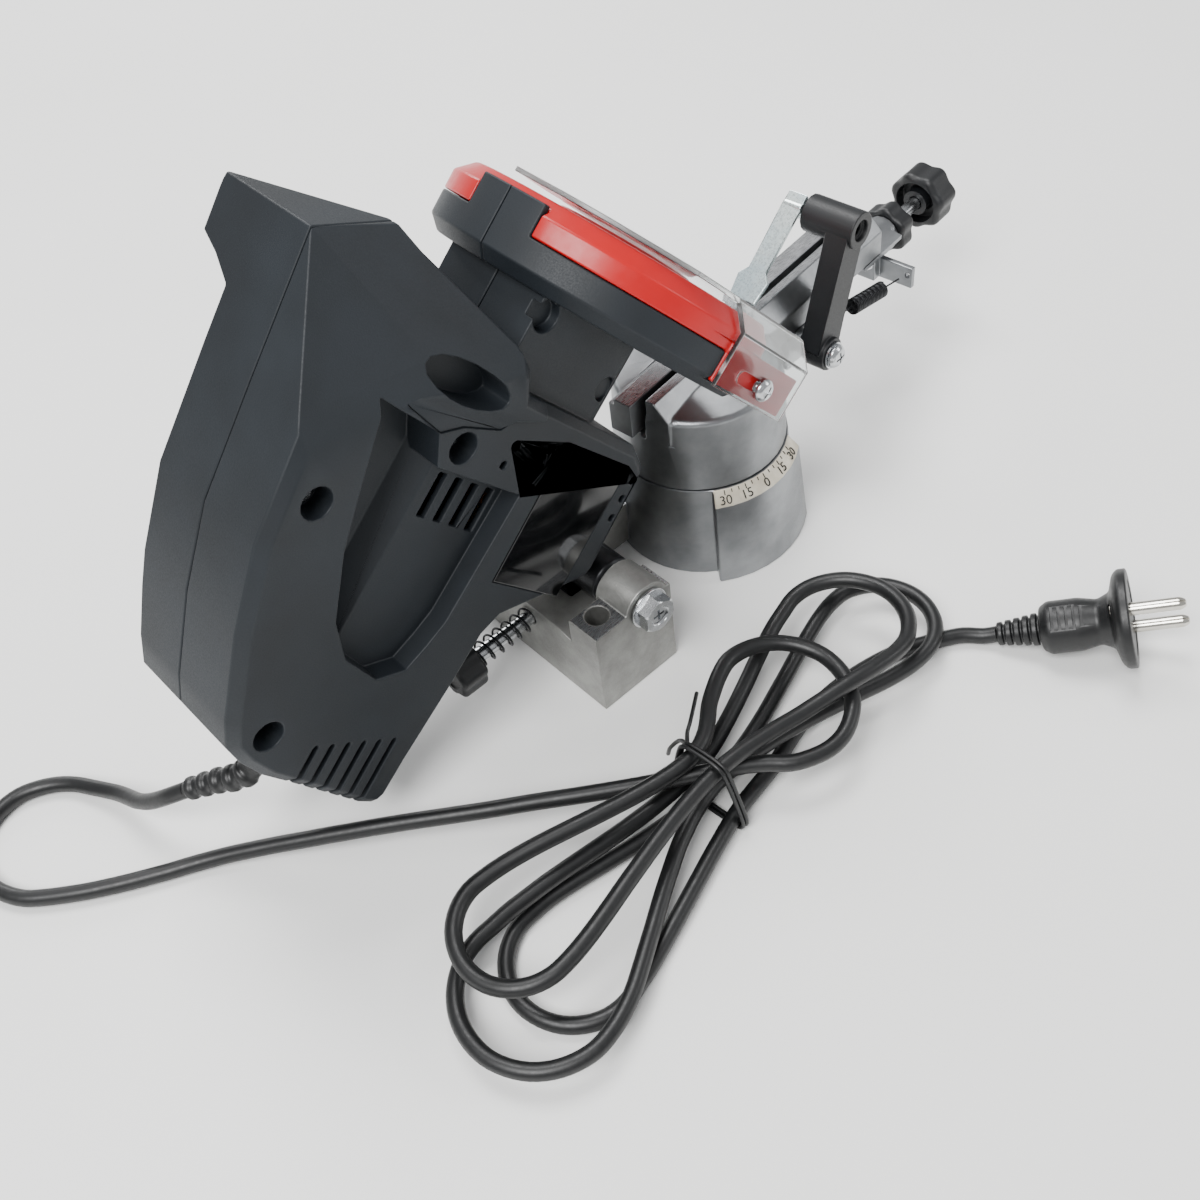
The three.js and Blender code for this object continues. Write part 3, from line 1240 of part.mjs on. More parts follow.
function coolingFan() {
  let fan = alongShaft(fanRadius / 2, fanStart, fanLength);
  fan = join(fan, alongShaft(fanRadius, fanStart, fanLength / 4, wideSides));
  for (let k = 0; k < fanBlades; k += 1) {
    const angle = (k * 2 * Math.PI) / fanBlades;
    const corners = [[fanRadius / 3, -gap * 2], [fanRadius, -gap * 2], [fanRadius, gap * 2], [fanRadius / 3, gap * 2]]
      .map((corner) => rotated(corner, angle)).map(([a, b]) => [a, b + motorHeight]);
    fan = join(fan, prism(corners, 'x', fanStart, fanStart + fanLength));
  }
  return cut(fan, shaftHole());
}

put(head, 'armature_core', armatureCore(), looks.copper);
put(head, 'commutator', cut(alongShaft(commutatorRadius, commutatorStart, commutatorLength), shaftHole()),
  looks.brass);
put(head, 'cooling_fan', coolingFan(), looks.plastic);
put(head, 'field_core', cut(alongShaft(coreRadius, coreStart, coreLength, wideSides),
  alongShaft(rotorRadius + gap * 2, coreStart - overrun, coreLength + overrun * 2)), looks.laminate);
put(head, 'rear_bearing', cut(alongShaft(bearingRadius, rearBearingStart, bearingLength), shaftHole()), looks.steel);
put(head, 'front_bearing', cut(alongShaft(bearingRadius, frontBearingStart, bearingLength), shaftHole()),
  looks.steel);

// A brush and its holder on each side of the commutator
[-1, 1].forEach((end, k) => {
  const centreX = commutatorStart + commutatorLength / 2;
  const bounds = (near, far) => (end < 0 ? [-far, -near] : [near, far]);
  const wall = end < 0 ? -frontInside : backInside;
  const half = brushWidth / 2;
  const tall = brushHeight / 2;
  const [brushLow, brushHigh] = bounds(commutatorRadius + gap, commutatorRadius + gap + brushLength);
  const [holderLow, holderHigh] = bounds(commutatorRadius + overrun, wall - gap);
  const [wayLow, wayHigh] = bounds(commutatorRadius, wall - castWall);
  const holder = cut(box(centreX - half - overrun, centreX + half + overrun, holderLow, holderHigh,
    motorHeight - tall - overrun, motorHeight + tall + overrun),
  box(centreX - half - gap, centreX + half + gap, wayLow, wayHigh, motorHeight - tall - gap,
    motorHeight + tall + gap));
  put(head, `brush_holder_${k + 1}`, holder, looks.brass);
  put(head, `carbon_brush_${k + 1}`, box(centreX - half, centreX + half, brushLow, brushHigh,
    motorHeight - tall, motorHeight + tall), looks.carbon);
});

// Rocker switch in the rear face
const switchFace = housingBack + gap;
const buttonTall = switchWidth - switchFlange * 2;
const buttonLong = switchLength - switchFlange * 3;

function rockerSwitch() {
  const flange = box(switchX - switchLength / 2, switchX + switchLength / 2, switchFace, switchFace + switchFlange,
    switchHeight - switchWidth / 2, switchHeight + switchWidth / 2);
  const bodyInset = switchFlange + gap;
  const body = box(switchX - switchLength / 2 + bodyInset, switchX + switchLength / 2 - bodyInset,
    housingBack - switchDepth, switchFace + switchFlange / 2, switchHeight - switchWidth / 2 + bodyInset,
    switchHeight + switchWidth / 2 - bodyInset);
  const window = box(switchX - buttonLong / 2 - gap, switchX + buttonLong / 2 + gap,
    switchFace - switchDepth / 2, switchFace + switchFlange + overrun, switchHeight - buttonTall / 2 + overrun / 2,
    switchHeight + buttonTall / 2 - overrun / 2);
  return cut(join(flange, body), window);
}

function switchButton() {
  const low = switchFace - switchDepth / 4;
  const proud = switchFace + switchFlange;
  const half = buttonLong / 2 - gap;
  const section = [[switchX - half, low + switchFlange], [switchX, low], [switchX + half, low + switchFlange],
    [switchX + half, proud + switchFlange / 2], [switchX, proud - switchFlange / 4],
    [switchX - half, proud + switchFlange / 2]];
  const tall = buttonTall / 2 - overrun / 2 - gap;
  return prism(section, 'z', switchHeight - tall, switchHeight + tall);
}

put(head, 'rocker_switch', rockerSwitch(), looks.plastic);
put(head, 'switch_button', switchButton(), looks.plastic);

// Pivot arm: a sleeve on the pivot bolt, a web up into the housing and a tail down to the depth screw
const tailSide = pocketLength / 2 - tailInset;

function pivotArm() {
  const halfLength = lugY - gap;
  const sleeve = turned([[0, -halfLength], [sleeveRadius - overrun, -halfLength],
    [sleeveRadius, overrun - halfLength], [sleeveRadius, returnStart], [sleeveNeckRadius, returnStart],
    [sleeveNeckRadius, halfLength], [0, halfLength]], 'y', [0, 0], wideSides);
  const web = prism(armWebOutline, 'y', -armWebDepth / 2, armWebDepth / 2);
  const tail = prism([[-tailWidth / 2, -tailLength], [tailWidth / 2, -tailLength], [tailWidth / 2, 0],
    [-tailWidth / 2, 0]].map((corner) => rotated(corner, -headTurn)), 'y', stopScrewY - tailSide,
  stopScrewY + tailSide);
  const bore = rod(boltRadius + gap, 'y', -lugY, lugY);
  const screwWay = rod(screwShankRadius + gap, 'y', -armWebDepth, armWebDepth, housingScrews[3], tinySides);
  return cut(join(sleeve, web, tail), bore, screwWay);
}

put(head, 'pivot_arm', pivotArm(), looks.blackSteel);

// Torsion spring round the neck of the sleeve, with one leg on the foot and one under the housing
function returnSpring() {
  const radius = returnRadius;
  const turns = returnTurns - headDegrees / 360;
  const start = returnStart + returnWire / 2 + gap;
  const end = lugY - returnWire / 2 - gap * 2;
  const valleyRise = (footHeight - valleyHeight) * ((padY - end) / valleyRun);
  const [footX, footZ] = rotated([-radius, valleyHeight + valleyRise + gap - pivotHeight], -headTurn);
  const steps = Math.round(turns * curlSteps);
  const points = [new THREE.Vector3(-radius, start, returnLegTop)];
  for (let k = 0; k <= steps; k += 1) {
    const angle = Math.PI + (k / steps) * turns * 2 * Math.PI;
    points.push(new THREE.Vector3(radius * Math.cos(angle), start + ((end - start) * k) / steps,
      radius * Math.sin(angle)));
  }
  points.push(new THREE.Vector3(footX, end, footZ));
  return bent(points, returnWire / 2, curlSides);
}

put(head, 'return_spring', returnSpring(), looks.blackSteel);

// Pivot bolt and nut, in the lugs of the base
function pivotBolt() {
  const face = -endY - gap;
  const shank = rod(boltRadius, 'y', face, endY + nutThick + overrun, [pivotX, pivotHeight]);
  const washer = rod(washerRadius, 'y', face - washerThick, face, [pivotX, pivotHeight], roundSides);
  const hex = prism(ring(hexRadius, 6, [pivotX, pivotHeight]), 'y', face - washerThick - hexHeight, face);
  return join(shank, washer, hex);
}

function pivotNut() {
  const hex = prism(ring(hexRadius, 6, [pivotX, pivotHeight]), 'y', endY + gap, endY + gap + nutThick);
  return cut(hex, rod(boltRadius + gap, 'y', endY, endY + nutThick + overrun, [pivotX, pivotHeight]));
}

put(machine, 'pivot_bolt', pivotBolt(), looks.steel);
put(machine, 'pivot_nut', pivotNut(), looks.steel);

// Depth screw, its knob and the spring that keeps it from turning by itself
const stopAlpha = tiltRangeDegrees * degrees;
const depthTip = pivotX + (stopScrewHeight - pivotHeight) * Math.tan(stopAlpha)
  - tailWidth / 2 / Math.cos(stopAlpha) - depthScrewRadius * Math.tan(stopAlpha) - gap;
const stopCentre = [stopScrewY, stopScrewHeight];
const depthKnobEnd = depthKnobX + depthKnobLength;

put(machine, 'depth_screw', rod(depthScrewRadius, 'x', depthKnobX, depthTip, stopCentre), looks.steel);
put(machine, 'depth_knob', cut(starKnob(depthKnobRadius, 7, 'x', depthKnobX - overrun, depthKnobEnd, stopCentre),
  rod(depthScrewRadius + gap, 'x', depthKnobX - gap, depthKnobEnd + overrun, stopCentre)), looks.plastic);

function depthSpring() {
  const from = depthKnobEnd + depthSpringWire / 2 + gap;
  const to = -footHalf - depthSpringWire / 2 - gap;
  const coil = new Coil(depthSpringRadius - depthSpringWire / 2, depthSpringTurns, [from, ...stopCentre],
    [1, 0, 0], (to - from) / depthSpringTurns, 0);
  return coilSpring(coil, null, null, depthSpringWire);
}

put(machine, 'depth_spring', depthSpring(), looks.blackSteel);

// Cord: its boot, the clamp inside the housing, the lead, the hank and the plug
const toWorld = ([a, y, b]) => {
  const [x, z] = rotated([a, b], headTurn);
  return new THREE.Vector3(pivotX + x, y, pivotHeight + z);
};
const bootEnd = new THREE.Vector3(...bootEndPoint);
const leadPoints = leadRoute.map((point) => new THREE.Vector3(...point));
const wallPoint = toWorld([cordExitX, 0, cordExitHeight]);
const insidePoint = toWorld([clampStart, 0, cordExitHeight]);
const outward = toWorld([cordExitX - bootLength / 3, 0, cordExitHeight]);
const bootCurve = new THREE.CatmullRomCurve3([insidePoint, wallPoint, outward,
  bootEnd.clone().lerp(outward, 0.45), bootEnd], false, 'centripetal');

function cordBoot() {
  const inside = insidePoint.distanceTo(wallPoint) / bootCurve.getLength();
  const stations = [[0, cordRadius], [inside - bootNeckShare * 2, cordRadius],
    [inside - bootNeckShare * 2 + 0.005, bootNeckRadius], [inside + 0.05, bootNeckRadius],
    [inside + 0.055, bootRadius + castWall / 4], [inside + 0.09, bootRadius + castWall / 4],
    [inside + 0.095, bootRadius]];
  const first = inside + 0.12;
  const step = (1 - first - 0.03) / bootRibs;
  for (let k = 0; k < bootRibs; k += 1) {
    const taper = (bootRadius - cordRadius) * (k / bootRibs) * 0.6;
    const low = first + k * step;
    stations.push([low + step * 0.12, bootRadius - taper - ribDepth], [low + step * 0.2, bootRadius - taper],
      [low + step * 0.75, bootRadius - taper], [low + step * 0.83, bootRadius - taper - ribDepth]);
  }
  stations.push([1, bootRadius - (bootRadius - cordRadius) * 0.6]);
  return swept(bootCurve, stations, tinySides);
}

put(machine, 'cord_boot', cordBoot(), looks.cord);

function cordClamp() {
  const plate = box(clampStart, clampEnd, clampSplit - gap - clampThick, clampSplit - gap,
    cordExitHeight - clampHalf, cordExitHeight + clampHalf);
  return cut(plate, rod(cordRadius + gap, 'x', clampStart - overrun, clampEnd + overrun, [0, cordExitHeight]));
}

put(head, 'cord_clamp', cordClamp(), looks.plastic);

const exitTangent = bootCurve.getTangentAt(1);
const leadStart = bootEnd.clone().addScaledVector(exitTangent, gap);
const waistAlong = new THREE.Vector2(...waistHeading).normalize();
const waistAcross = new THREE.Vector2(-waistAlong.y, waistAlong.x);
const spacing = cordRadius * 2 + strandClear;
const laneAt = (offset) => [waistX + waistAcross.x * offset * spacing, waistY + waistAcross.y * offset * spacing];

// One lobe of the hank: an arc run anticlockwise round a centre, which the runs from the waist touch
function lobePoints([x, y, radius]) {
  const heading = Math.atan2(y - waistY, x - waistX);
  const wrap = Math.PI / 2 + Math.asin(radius / Math.hypot(y - waistY, x - waistX));
  return lobeShares.map((share) => [x + radius * Math.cos(heading + wrap * share),
    y + radius * Math.sin(heading + wrap * share)]);
}

// The flat route of the whole hank: every point carries the rank that says what lies on top
function flatRoute() {
  const route = [];
  const half = (lobeShares.length + 1) / 2;
  const add = (points, rank) => points.forEach((point) => route.push([...point, rank]));
  add(leadFlatRoute, runRanks[0]);
  lobeRows.forEach(([x, y, radius, offset], k) => {
    if (k) add([laneAt(offset)], runRanks[k]);
    const lobe = lobePoints([x, y, radius]);
    add(lobe.slice(0, half), runRanks[k]);
    add(lobe.slice(half), runRanks[k + 1]);
  });
  const tailRank = runRanks[runRanks.length - 1];
  add([laneAt(tailOffset)], tailRank);
  add(tailRoute, tailRank);
  return route;
}

// Raises each strand over what it crosses, in long low humps
function raised(points, ranks, ground, lowest) {
  const count = points.length;
  const height = lowest.slice();
  const run = [0];
  for (let k = 1; k < count; k += 1) {
    run.push(run[k - 1] + Math.hypot(points[k][0] - points[k - 1][0], points[k][1] - points[k - 1][1]));
  }
  const pairs = [];
  for (let i = 0; i < count; i += 1) {
    for (let j = i + 1; j < count; j += 1) {
      const apart = Math.hypot(points[i][0] - points[j][0], points[i][1] - points[j][1]);
      if (apart < spacing && run[j] - run[i] > spacing * 3 && ranks[i] !== ranks[j]) {
        const square = spacing * spacing - apart * apart;
        const lift = Math.sqrt(square) + (crossClear * square) / (spacing * spacing);
        pairs.push(ranks[i] > ranks[j] ? [i, j, lift] : [j, i, lift]);
      }
    }
  }
  const drop = (distance) => {
    const bend = climbRadius * climbSlope;
    if (distance < bend) return (distance * distance) / (2 * climbRadius);
    return (bend * bend) / (2 * climbRadius) + (distance - bend) * climbSlope;
  };
  const spread = () => {
    const peaks = height.slice();
    for (let i = 0; i < count; i += 1) {
      if (peaks[i] === ground[i]) continue;
      for (const step of [-1, 1]) {
        for (let j = i + step; j >= 0 && j < count; j += step) {
          const level = peaks[i] - drop(Math.abs(run[j] - run[i]));
          if (level < cordRadius) break;
          if (level > height[j]) height[j] = level;
        }
      }
    }
  };
  spread();
  for (let round = 0; round < raiseRounds; round += 1) {
    let moved = 0;
    for (const [top, under, lift] of pairs) {
      const need = height[under] + lift;
      if (need > height[top] + 1e-3) {
        moved = Math.max(moved, need - height[top]);
        height[top] = need;
      }
    }
    if (moved < strandClear / 10) break;
    spread();
  }
  return height;
}

// The whole cord as closely spaced points, each with its share of the lead or of the hank
function cordRoute() {
  const rows = [];
  const axis = new THREE.Vector3(...plugTilt).normalize();
  const plugStart = new THREE.Vector3(...plugCentre).addScaledVector(axis, -plugTail - gap);
  const air = [leadStart, leadStart.clone().addScaledVector(exitTangent, cordRadius * 2), ...leadPoints];
  air.forEach((point) => rows.push([point.x, point.y, point.z, runRanks[0]]));
  const leadCount = rows.length;
  flatRoute().forEach(([x, y, rank]) => rows.push([x, y, cordRadius, rank]));
  for (const back of [cordRadius * 4, cordRadius * 2, 0]) {
    const point = plugStart.clone().addScaledVector(axis, -back);
    rows.push([point.x, point.y, Math.max(point.z, cordRadius), 0]);
  }
  const curve = new THREE.CatmullRomCurve3(rows.map(([x, y, z]) => new THREE.Vector3(x, y, z)), false,
    'centripetal');
  curve.arcLengthDivisions = rows.length * 40;
  const count = Math.round(curve.getLength() / sampleStep);
  const points = [];
  const ranks = [];
  const ground = [];
  const lowest = [];
  let split = 0;
  for (let k = 0; k <= count; k += 1) {
    const t = curve.getUtoTmapping(k / count);
    const point = curve.getPoint(t);
    const row = t * (rows.length - 1);
    const along = (point.x - waistX) * waistAlong.x + (point.y - waistY) * waistAlong.y;
    const across = (point.x - waistX) * waistAcross.x + (point.y - waistY) * waistAcross.y;
    const tied = Math.abs(along) < waistHalf && Math.abs(across) < spacing * 3;
    points.push([point.x, point.y]);
    ranks.push(rows[Math.round(row)][3]);
    ground.push(Math.max(point.z, cordRadius));
    lowest.push(ground[k] + (tied ? tieRadius * 2 + gap * 2 : 0));
    if (row <= leadCount - 1) split = k;
  }
  const height = raised(points, ranks, ground, lowest);
  const smooth = height.map((_, k) => {
    const near = height.slice(Math.max(0, k - smoothSpan), k + smoothSpan + 1);
    return near.reduce((sum, value) => sum + value, 0) / near.length;
  });
  const spots = points.map(([x, y], k) => new THREE.Vector3(x, y, k < smoothSpan || k > count - smoothSpan
    ? height[k] : Math.max(smooth[k], cordRadius)));
  return { spots, split };
}

// Picks every so many of the close points, and the two at each end, which set the end faces square
function thinned(points) {
  const last = points.length - 1;
  return points.filter((_, k) => k % thinStep === 0 || k === 1 || k >= last - 1);
}

function leastGap(points) {
  let least = Infinity;
  let run = 0;
  const runs = points.map((point, k) => {
    if (k) run += point.distanceTo(points[k - 1]);
    return run;
  });
  for (let i = 0; i < points.length; i += 1) {
    for (let j = i + 1; j < points.length; j += 1) {
      if (runs[j] - runs[i] > spacing * 3) least = Math.min(least, points[i].distanceTo(points[j]));
    }
  }
  return { least: least - cordRadius * 2, length: run };
}

const { spots, split } = cordRoute();
const leadSpots = spots.slice(0, split + 1);
const hankSpots = spots.slice(split + 1);
const hankFirst = leadSpots[split].clone();
hankFirst.addScaledVector(hankSpots[0].clone().sub(hankFirst).normalize(), gap);
hankSpots[0] = hankFirst;
const measured = leastGap(spots);
console.log(`Cord length ${measured.length.toFixed(0)} mm, least gap to itself ${measured.least.toFixed(2)} mm`);
put(machine, 'cord_lead', bent(thinned(leadSpots), cordRadius, tinySides), looks.cord);
put(machine, 'cord_hank', bent(thinned(hankSpots), cordRadius, hankSides), looks.cord);

// Wire tie drawn round the strands at the waist, with its two loose ends
function cordTie() {
  const strands = [];
  for (let k = 1; k < spots.length; k += 1) {
    const [before, after] = [spots[k - 1], spots[k]].map((point) => ({
      along: (point.x - waistX) * waistAlong.x + (point.y - waistY) * waistAlong.y,
      place: new THREE.Vector2((point.x - waistX) * waistAcross.x + (point.y - waistY) * waistAcross.y, point.z),
    }));
    const crosses = before.along * after.along <= 0 && Math.abs(after.place.x) < spacing * 3;
    if (crosses) strands.push(before.place.clone().lerp(after.place, before.along / (before.along - after.along)));
  }
  const loop = [];
  for (let k = 0; k <= tieSteps; k += 1) {
    const direction = new THREE.Vector2(1, 0).rotateAround(new THREE.Vector2(), ((k + 0.5) * 2 * Math.PI) / tieSteps);
    const outer = strands.reduce((best, strand) => (strand.dot(direction) > best.dot(direction) ? strand : best));
    const point = outer.clone().addScaledVector(direction, cordRadius + tieRadius + tieClear);
    loop.push(new THREE.Vector3(waistX + waistAcross.x * point.x, waistY + waistAcross.y * point.x,
      Math.max(point.y, tieRadius)));
  }
  const knot = loop[Math.round(tieSteps * tieKnotShare)];
  const ends = tieEndPoints.map((end) => bent([knot, ...end.map((point) => new THREE.Vector3(...point))],
    tieRadius, tieSides));
  return join(bent(loop, tieRadius, tieSides), ...ends);
}

put(machine, 'cord_tie', cordTie(), looks.cord);

// Plug: a ribbed boot, a grip, a round flange and two pins
const plug = new THREE.Group();
const plugAlong = new THREE.Vector3(...plugTilt).normalize();
const plugUp = new THREE.Vector3(...pinSide);
plugUp.addScaledVector(plugAlong, -plugUp.dot(plugAlong)).normalize();
plug.setRotationFromMatrix(new THREE.Matrix4().makeBasis(plugAlong,
  new THREE.Vector3().crossVectors(plugUp, plugAlong), plugUp));
plug.position.set(...plugCentre);
machine.add(plug);

function plugBody() {
  const profile = [[0, -plugTail]];
  const step = (plugTail - plugGripStart) / plugRibs;
  for (let k = 0; k < plugRibs; k += 1) {
    const low = -plugTail + k * step;
    const radius = cordRadius + plugBootWall + (k * plugBootWall) / plugRibs;
    profile.push([radius, low], [radius, low + step * 0.6], [radius - ribDepth, low + step * 0.65],
      [radius - ribDepth, low + step]);
  }
  profile.push(...plugShares.map(([radius, along]) => [radius * plugGripRadius, -plugGripStart * along]));
  profile.push([plugFlangeRadius - edgeRound / 2, -plugFlangeThick / 2], [plugFlangeRadius, 0],
    [plugFlangeRadius, plugFlangeThick / 2], [0, plugFlangeThick / 2]);
  const holes = [-1, 1].map((side) => rod(pinRadius + gap, 'x', -plugFlangeThick, plugFlangeThick,
    [0, (side * pinPitch) / 2], tinySides));
  return cut(turned(profile, 'x', [0, 0], smallSides), ...holes);
}

put(plug, 'plug_body', plugBody(), looks.plastic);
[-1, 1].forEach((side, k) => {
  const end = plugFlangeThick / 2 + pinLength;
  const pin = turned([[0, gap - plugFlangeThick], [pinRadius, gap - plugFlangeThick], [pinRadius, end - pinRadius],
    [pinRadius / 2, end], [0, end]], 'x', [0, (side * pinPitch) / 2], tinySides);
  put(plug, `plug_pin_${k + 1}`, pin, looks.steel);
});

export default machine;
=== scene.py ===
"""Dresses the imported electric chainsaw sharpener: smooth castings, mouldings, knobs, springs, cord and plug."""

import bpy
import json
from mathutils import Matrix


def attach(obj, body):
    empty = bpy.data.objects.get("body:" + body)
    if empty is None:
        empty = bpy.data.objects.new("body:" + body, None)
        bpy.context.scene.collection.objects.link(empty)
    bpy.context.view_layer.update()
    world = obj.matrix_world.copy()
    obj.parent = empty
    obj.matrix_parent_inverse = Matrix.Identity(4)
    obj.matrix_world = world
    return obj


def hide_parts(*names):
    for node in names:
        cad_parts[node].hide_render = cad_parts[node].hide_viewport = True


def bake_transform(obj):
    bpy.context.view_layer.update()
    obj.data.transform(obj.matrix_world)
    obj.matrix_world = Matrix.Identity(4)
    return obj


bl_info = {
    "name": "Electric chainsaw sharpener",
    "version": (1, 0, 0),
    "blender": (4, 5, 0),
    "location": "3D View > Sidebar > Sharpener",
    "description": "Models and finishes the pieces of a bench chainsaw sharpener round its packed frame",
    "category": "Object",
}

import json
import math

import bpy
from mathutils import Matrix, Vector

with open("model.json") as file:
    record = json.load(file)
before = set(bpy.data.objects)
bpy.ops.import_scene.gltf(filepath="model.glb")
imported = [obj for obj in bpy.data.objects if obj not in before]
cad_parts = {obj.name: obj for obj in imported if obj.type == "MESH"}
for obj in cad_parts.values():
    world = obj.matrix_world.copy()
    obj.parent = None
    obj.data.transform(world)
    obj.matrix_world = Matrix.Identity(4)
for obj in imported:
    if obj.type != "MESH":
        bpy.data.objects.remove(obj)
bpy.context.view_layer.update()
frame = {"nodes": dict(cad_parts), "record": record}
BODY_OF = {node: body for body, nodes in frame["record"]["behaviour"]["bodies"].items() for node in nodes}
MM = 0.001

# Where the moving groups turn, in millimetres: the head on its hinge bolt, the vice on its swivel bolt
HINGE = Vector((6.7, 0, 38.5))
SWIVEL_X = 82.7
HEAD = Matrix.Translation(HINGE) @ Matrix.Rotation(math.radians(-40), 4, "Y")
VICE = Matrix.Translation((SWIVEL_X, 0, 0)) @ Matrix.Rotation(math.radians(7), 4, "Z")
MACHINE = Matrix.Identity(4)
# Centre of the wheel in the head, and the axes of the feed screw in the vice and of the depth screw
WHEEL_CENTRE = (92, 0, 55)
FEED_AXIS = (0, 0, 60)
DEPTH_AXIS = (0, -7.6, 23)

# Which way a local Z axis points after each turn
FACING = {
    "+x": Matrix.Rotation(math.radians(90), 4, "Y"),
    "-x": Matrix.Rotation(math.radians(-90), 4, "Y"),
    "+y": Matrix.Rotation(math.radians(-90), 4, "X"),
    "-y": Matrix.Rotation(math.radians(90), 4, "X"),
    "+z": Matrix.Identity(4),
    "-z": Matrix.Rotation(math.radians(180), 4, "X"),
}


def linear(code):
    """Turns an sRGB hex value to a linear colour with alpha."""
    channels = [int(code[k:k + 2], 16) / 255 for k in (1, 3, 5)]
    return [c / 12.92 if c <= 0.04045 else ((c + 0.055) / 1.055) ** 2.4 for c in channels] + [1.0]


def colour(name, description, code):
    return bpy.props.FloatVectorProperty(name=name, description=description, subtype="COLOR", size=4,
                                         min=0, max=1, default=linear(code))


def length(name, description, millimetres):
    return bpy.props.FloatProperty(name=name, description=description, unit="LENGTH", min=0,
                                   default=millimetres * MM)


class SharpenerSizes(bpy.types.PropertyGroup):
    """Sizes that a user may change."""

    cast_edge: length("Casting edge", "Round along the edges of the castings", 0.7)
    shell_edge: length("Housing edge", "Round along the edges of the housing halves", 0.6)
    cover_edge: length("Cover edge", "Round along the edges of the red cover", 0.7)
    sheet_edge: length("Sheet edge", "Round along the edges of sheet metal and clear sheet", 0.3)
    cord_radius: length("Cord radius", "Half the thickness of the mains cord", 3.1)
    wire_radius: length("Tie radius", "Half the thickness of the cord's wire tie", 0.8)
    digit_height: length("Digit height", "Height of the numbers on the swivel scale", 3.6)
    digit_relief: length("Digit relief", "How far the marks stand out of the scale", 0.12)


class SharpenerColours(bpy.types.PropertyGroup):
    """Colours that a user may change."""

    shell: colour("Housing", "Moulded motor housing", "#15191d")
    # Painted sheen: a lighter blue black laid in large random patches over the housing's own colour
    shell_painted_sheen: colour("Housing, lighter", "Where light catches the housing's fine texture", "#1b2025")
    cover: colour("Cover", "Red wheel cover", "#b80a10")
    moulding: colour("Black moulding", "Knobs, arm and levers", "#0c0d0f")
    casting: colour("Casting", "Die-cast aluminium", "#96989a")
    casting_dark: colour("Casting, darker", "Skin of the casting where it cooled last", "#828486")
    scale: colour("Scale", "Turned ledge of the swivel scale", "#e6dfce")
    ink: colour("Scale marks", "Filled marks of the swivel scale", "#1c1b19")
    zinc: colour("Zinc", "Blue zinc plate on the pawl", "#c9dadf")
    cord: colour("Cord", "Flexible PVC", "#0a0b0c")
    wheel: colour("Grinding wheel", "Pink aluminium oxide grit", "#a55a55")
    floor: colour("Floor", "Pale studio floor", "#f4f4f3")


# Modelling
def select_only(*pieces):
    bpy.ops.object.select_all(action="DESELECT")
    for piece in pieces:
        piece.select_set(True)
    bpy.context.view_layer.objects.active = pieces[-1]


def apply_modifier(piece, kind, **settings):
    select_only(piece)
    modifier = piece.modifiers.new(kind.title(), kind)
    for name, value in settings.items():
        setattr(modifier, name, value)
    bpy.ops.object.modifier_apply(modifier=modifier.name)


def smooth(piece, degrees=40):
    """Smooth shading, sharp above the angle, with flat faces kept flat."""
    select_only(piece)
    bpy.ops.object.shade_smooth_by_angle(angle=math.radians(degrees))
    apply_modifier(piece, "WEIGHTED_NORMAL", keep_sharp=True)


def place(piece, matrix):
    """Puts a piece that was modelled in millimetres in its place in the machine, and applies that place."""
    piece.matrix_world = Matrix.Scale(MM, 4) @ matrix
    select_only(piece)
    bpy.ops.object.transform_apply(location=True, rotation=True, scale=True)


def copied(node, name):
    """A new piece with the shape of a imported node: doubles merged, and flat faces joined."""
    source = frame["nodes"][node]
    piece = bpy.data.objects.new(name, source.data.copy())
    bpy.context.scene.collection.objects.link(piece)
    select_only(piece)
    bpy.ops.object.mode_set(mode="EDIT")
    bpy.ops.mesh.select_all(action="SELECT")
    bpy.ops.mesh.remove_doubles(threshold=1e-5)
    bpy.ops.mesh.dissolve_limited(angle_limit=math.radians(0.5))
    bpy.ops.object.mode_set(mode="OBJECT")
    bpy.ops.mesh.customdata_custom_splitnormals_clear()
    piece.data.materials.clear()
    return piece


def rounded(piece, width, segments=2, degrees=40):
    apply_modifier(piece, "BEVEL", width=width, segments=segments, limit_method="ANGLE",
                   angle_limit=math.radians(degrees), use_clamp_overlap=False, miter_outer="MITER_ARC")
    smooth(piece, degrees)


def finished(piece, material, nodes=(), body=None):
    """Gives a piece its material, its body and the nodes that it stands for."""
    if not piece.data.materials:
        piece.data.materials.append(material)
    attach(piece, body or BODY_OF[nodes[0]])
    if nodes:
        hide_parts(*nodes)
    return piece


def dressed(node, material, width, segments=2, degrees=40):
    """Copies a node, rounds its edges and finishes it."""
    piece = copied(node, node + "_finished")
    if width:
        rounded(piece, width, segments, degrees)
    else:
        smooth(piece, degrees)
    return finished(piece, material, [node])


def line_object(name, points, edges):
    mesh = bpy.data.meshes.new(name)
    mesh.from_pydata(points, edges, [])
    piece = bpy.data.objects.new(name, mesh)
    bpy.context.scene.collection.objects.link(piece)
    return piece


def turned(name, profile, sides=96):
    """A closed turned shape about the local Z axis. The profile holds pairs of radius and height."""
    points = [(radius, 0, height) for radius, height in profile]
    piece = line_object(name, points, [(k, k + 1) for k in range(len(points) - 1)])
    apply_modifier(piece, "SCREW", angle=2 * math.pi, steps=sides, render_steps=sides, axis="Z",
                   use_merge_vertices=True, merge_threshold=1e-4)
    bpy.ops.object.mode_set(mode="EDIT")
    bpy.ops.mesh.select_all(action="SELECT")
    bpy.ops.mesh.remove_doubles(threshold=1e-4)
    bpy.ops.mesh.normals_make_consistent(inside=False)
    bpy.ops.object.mode_set(mode="OBJECT")
    return piece


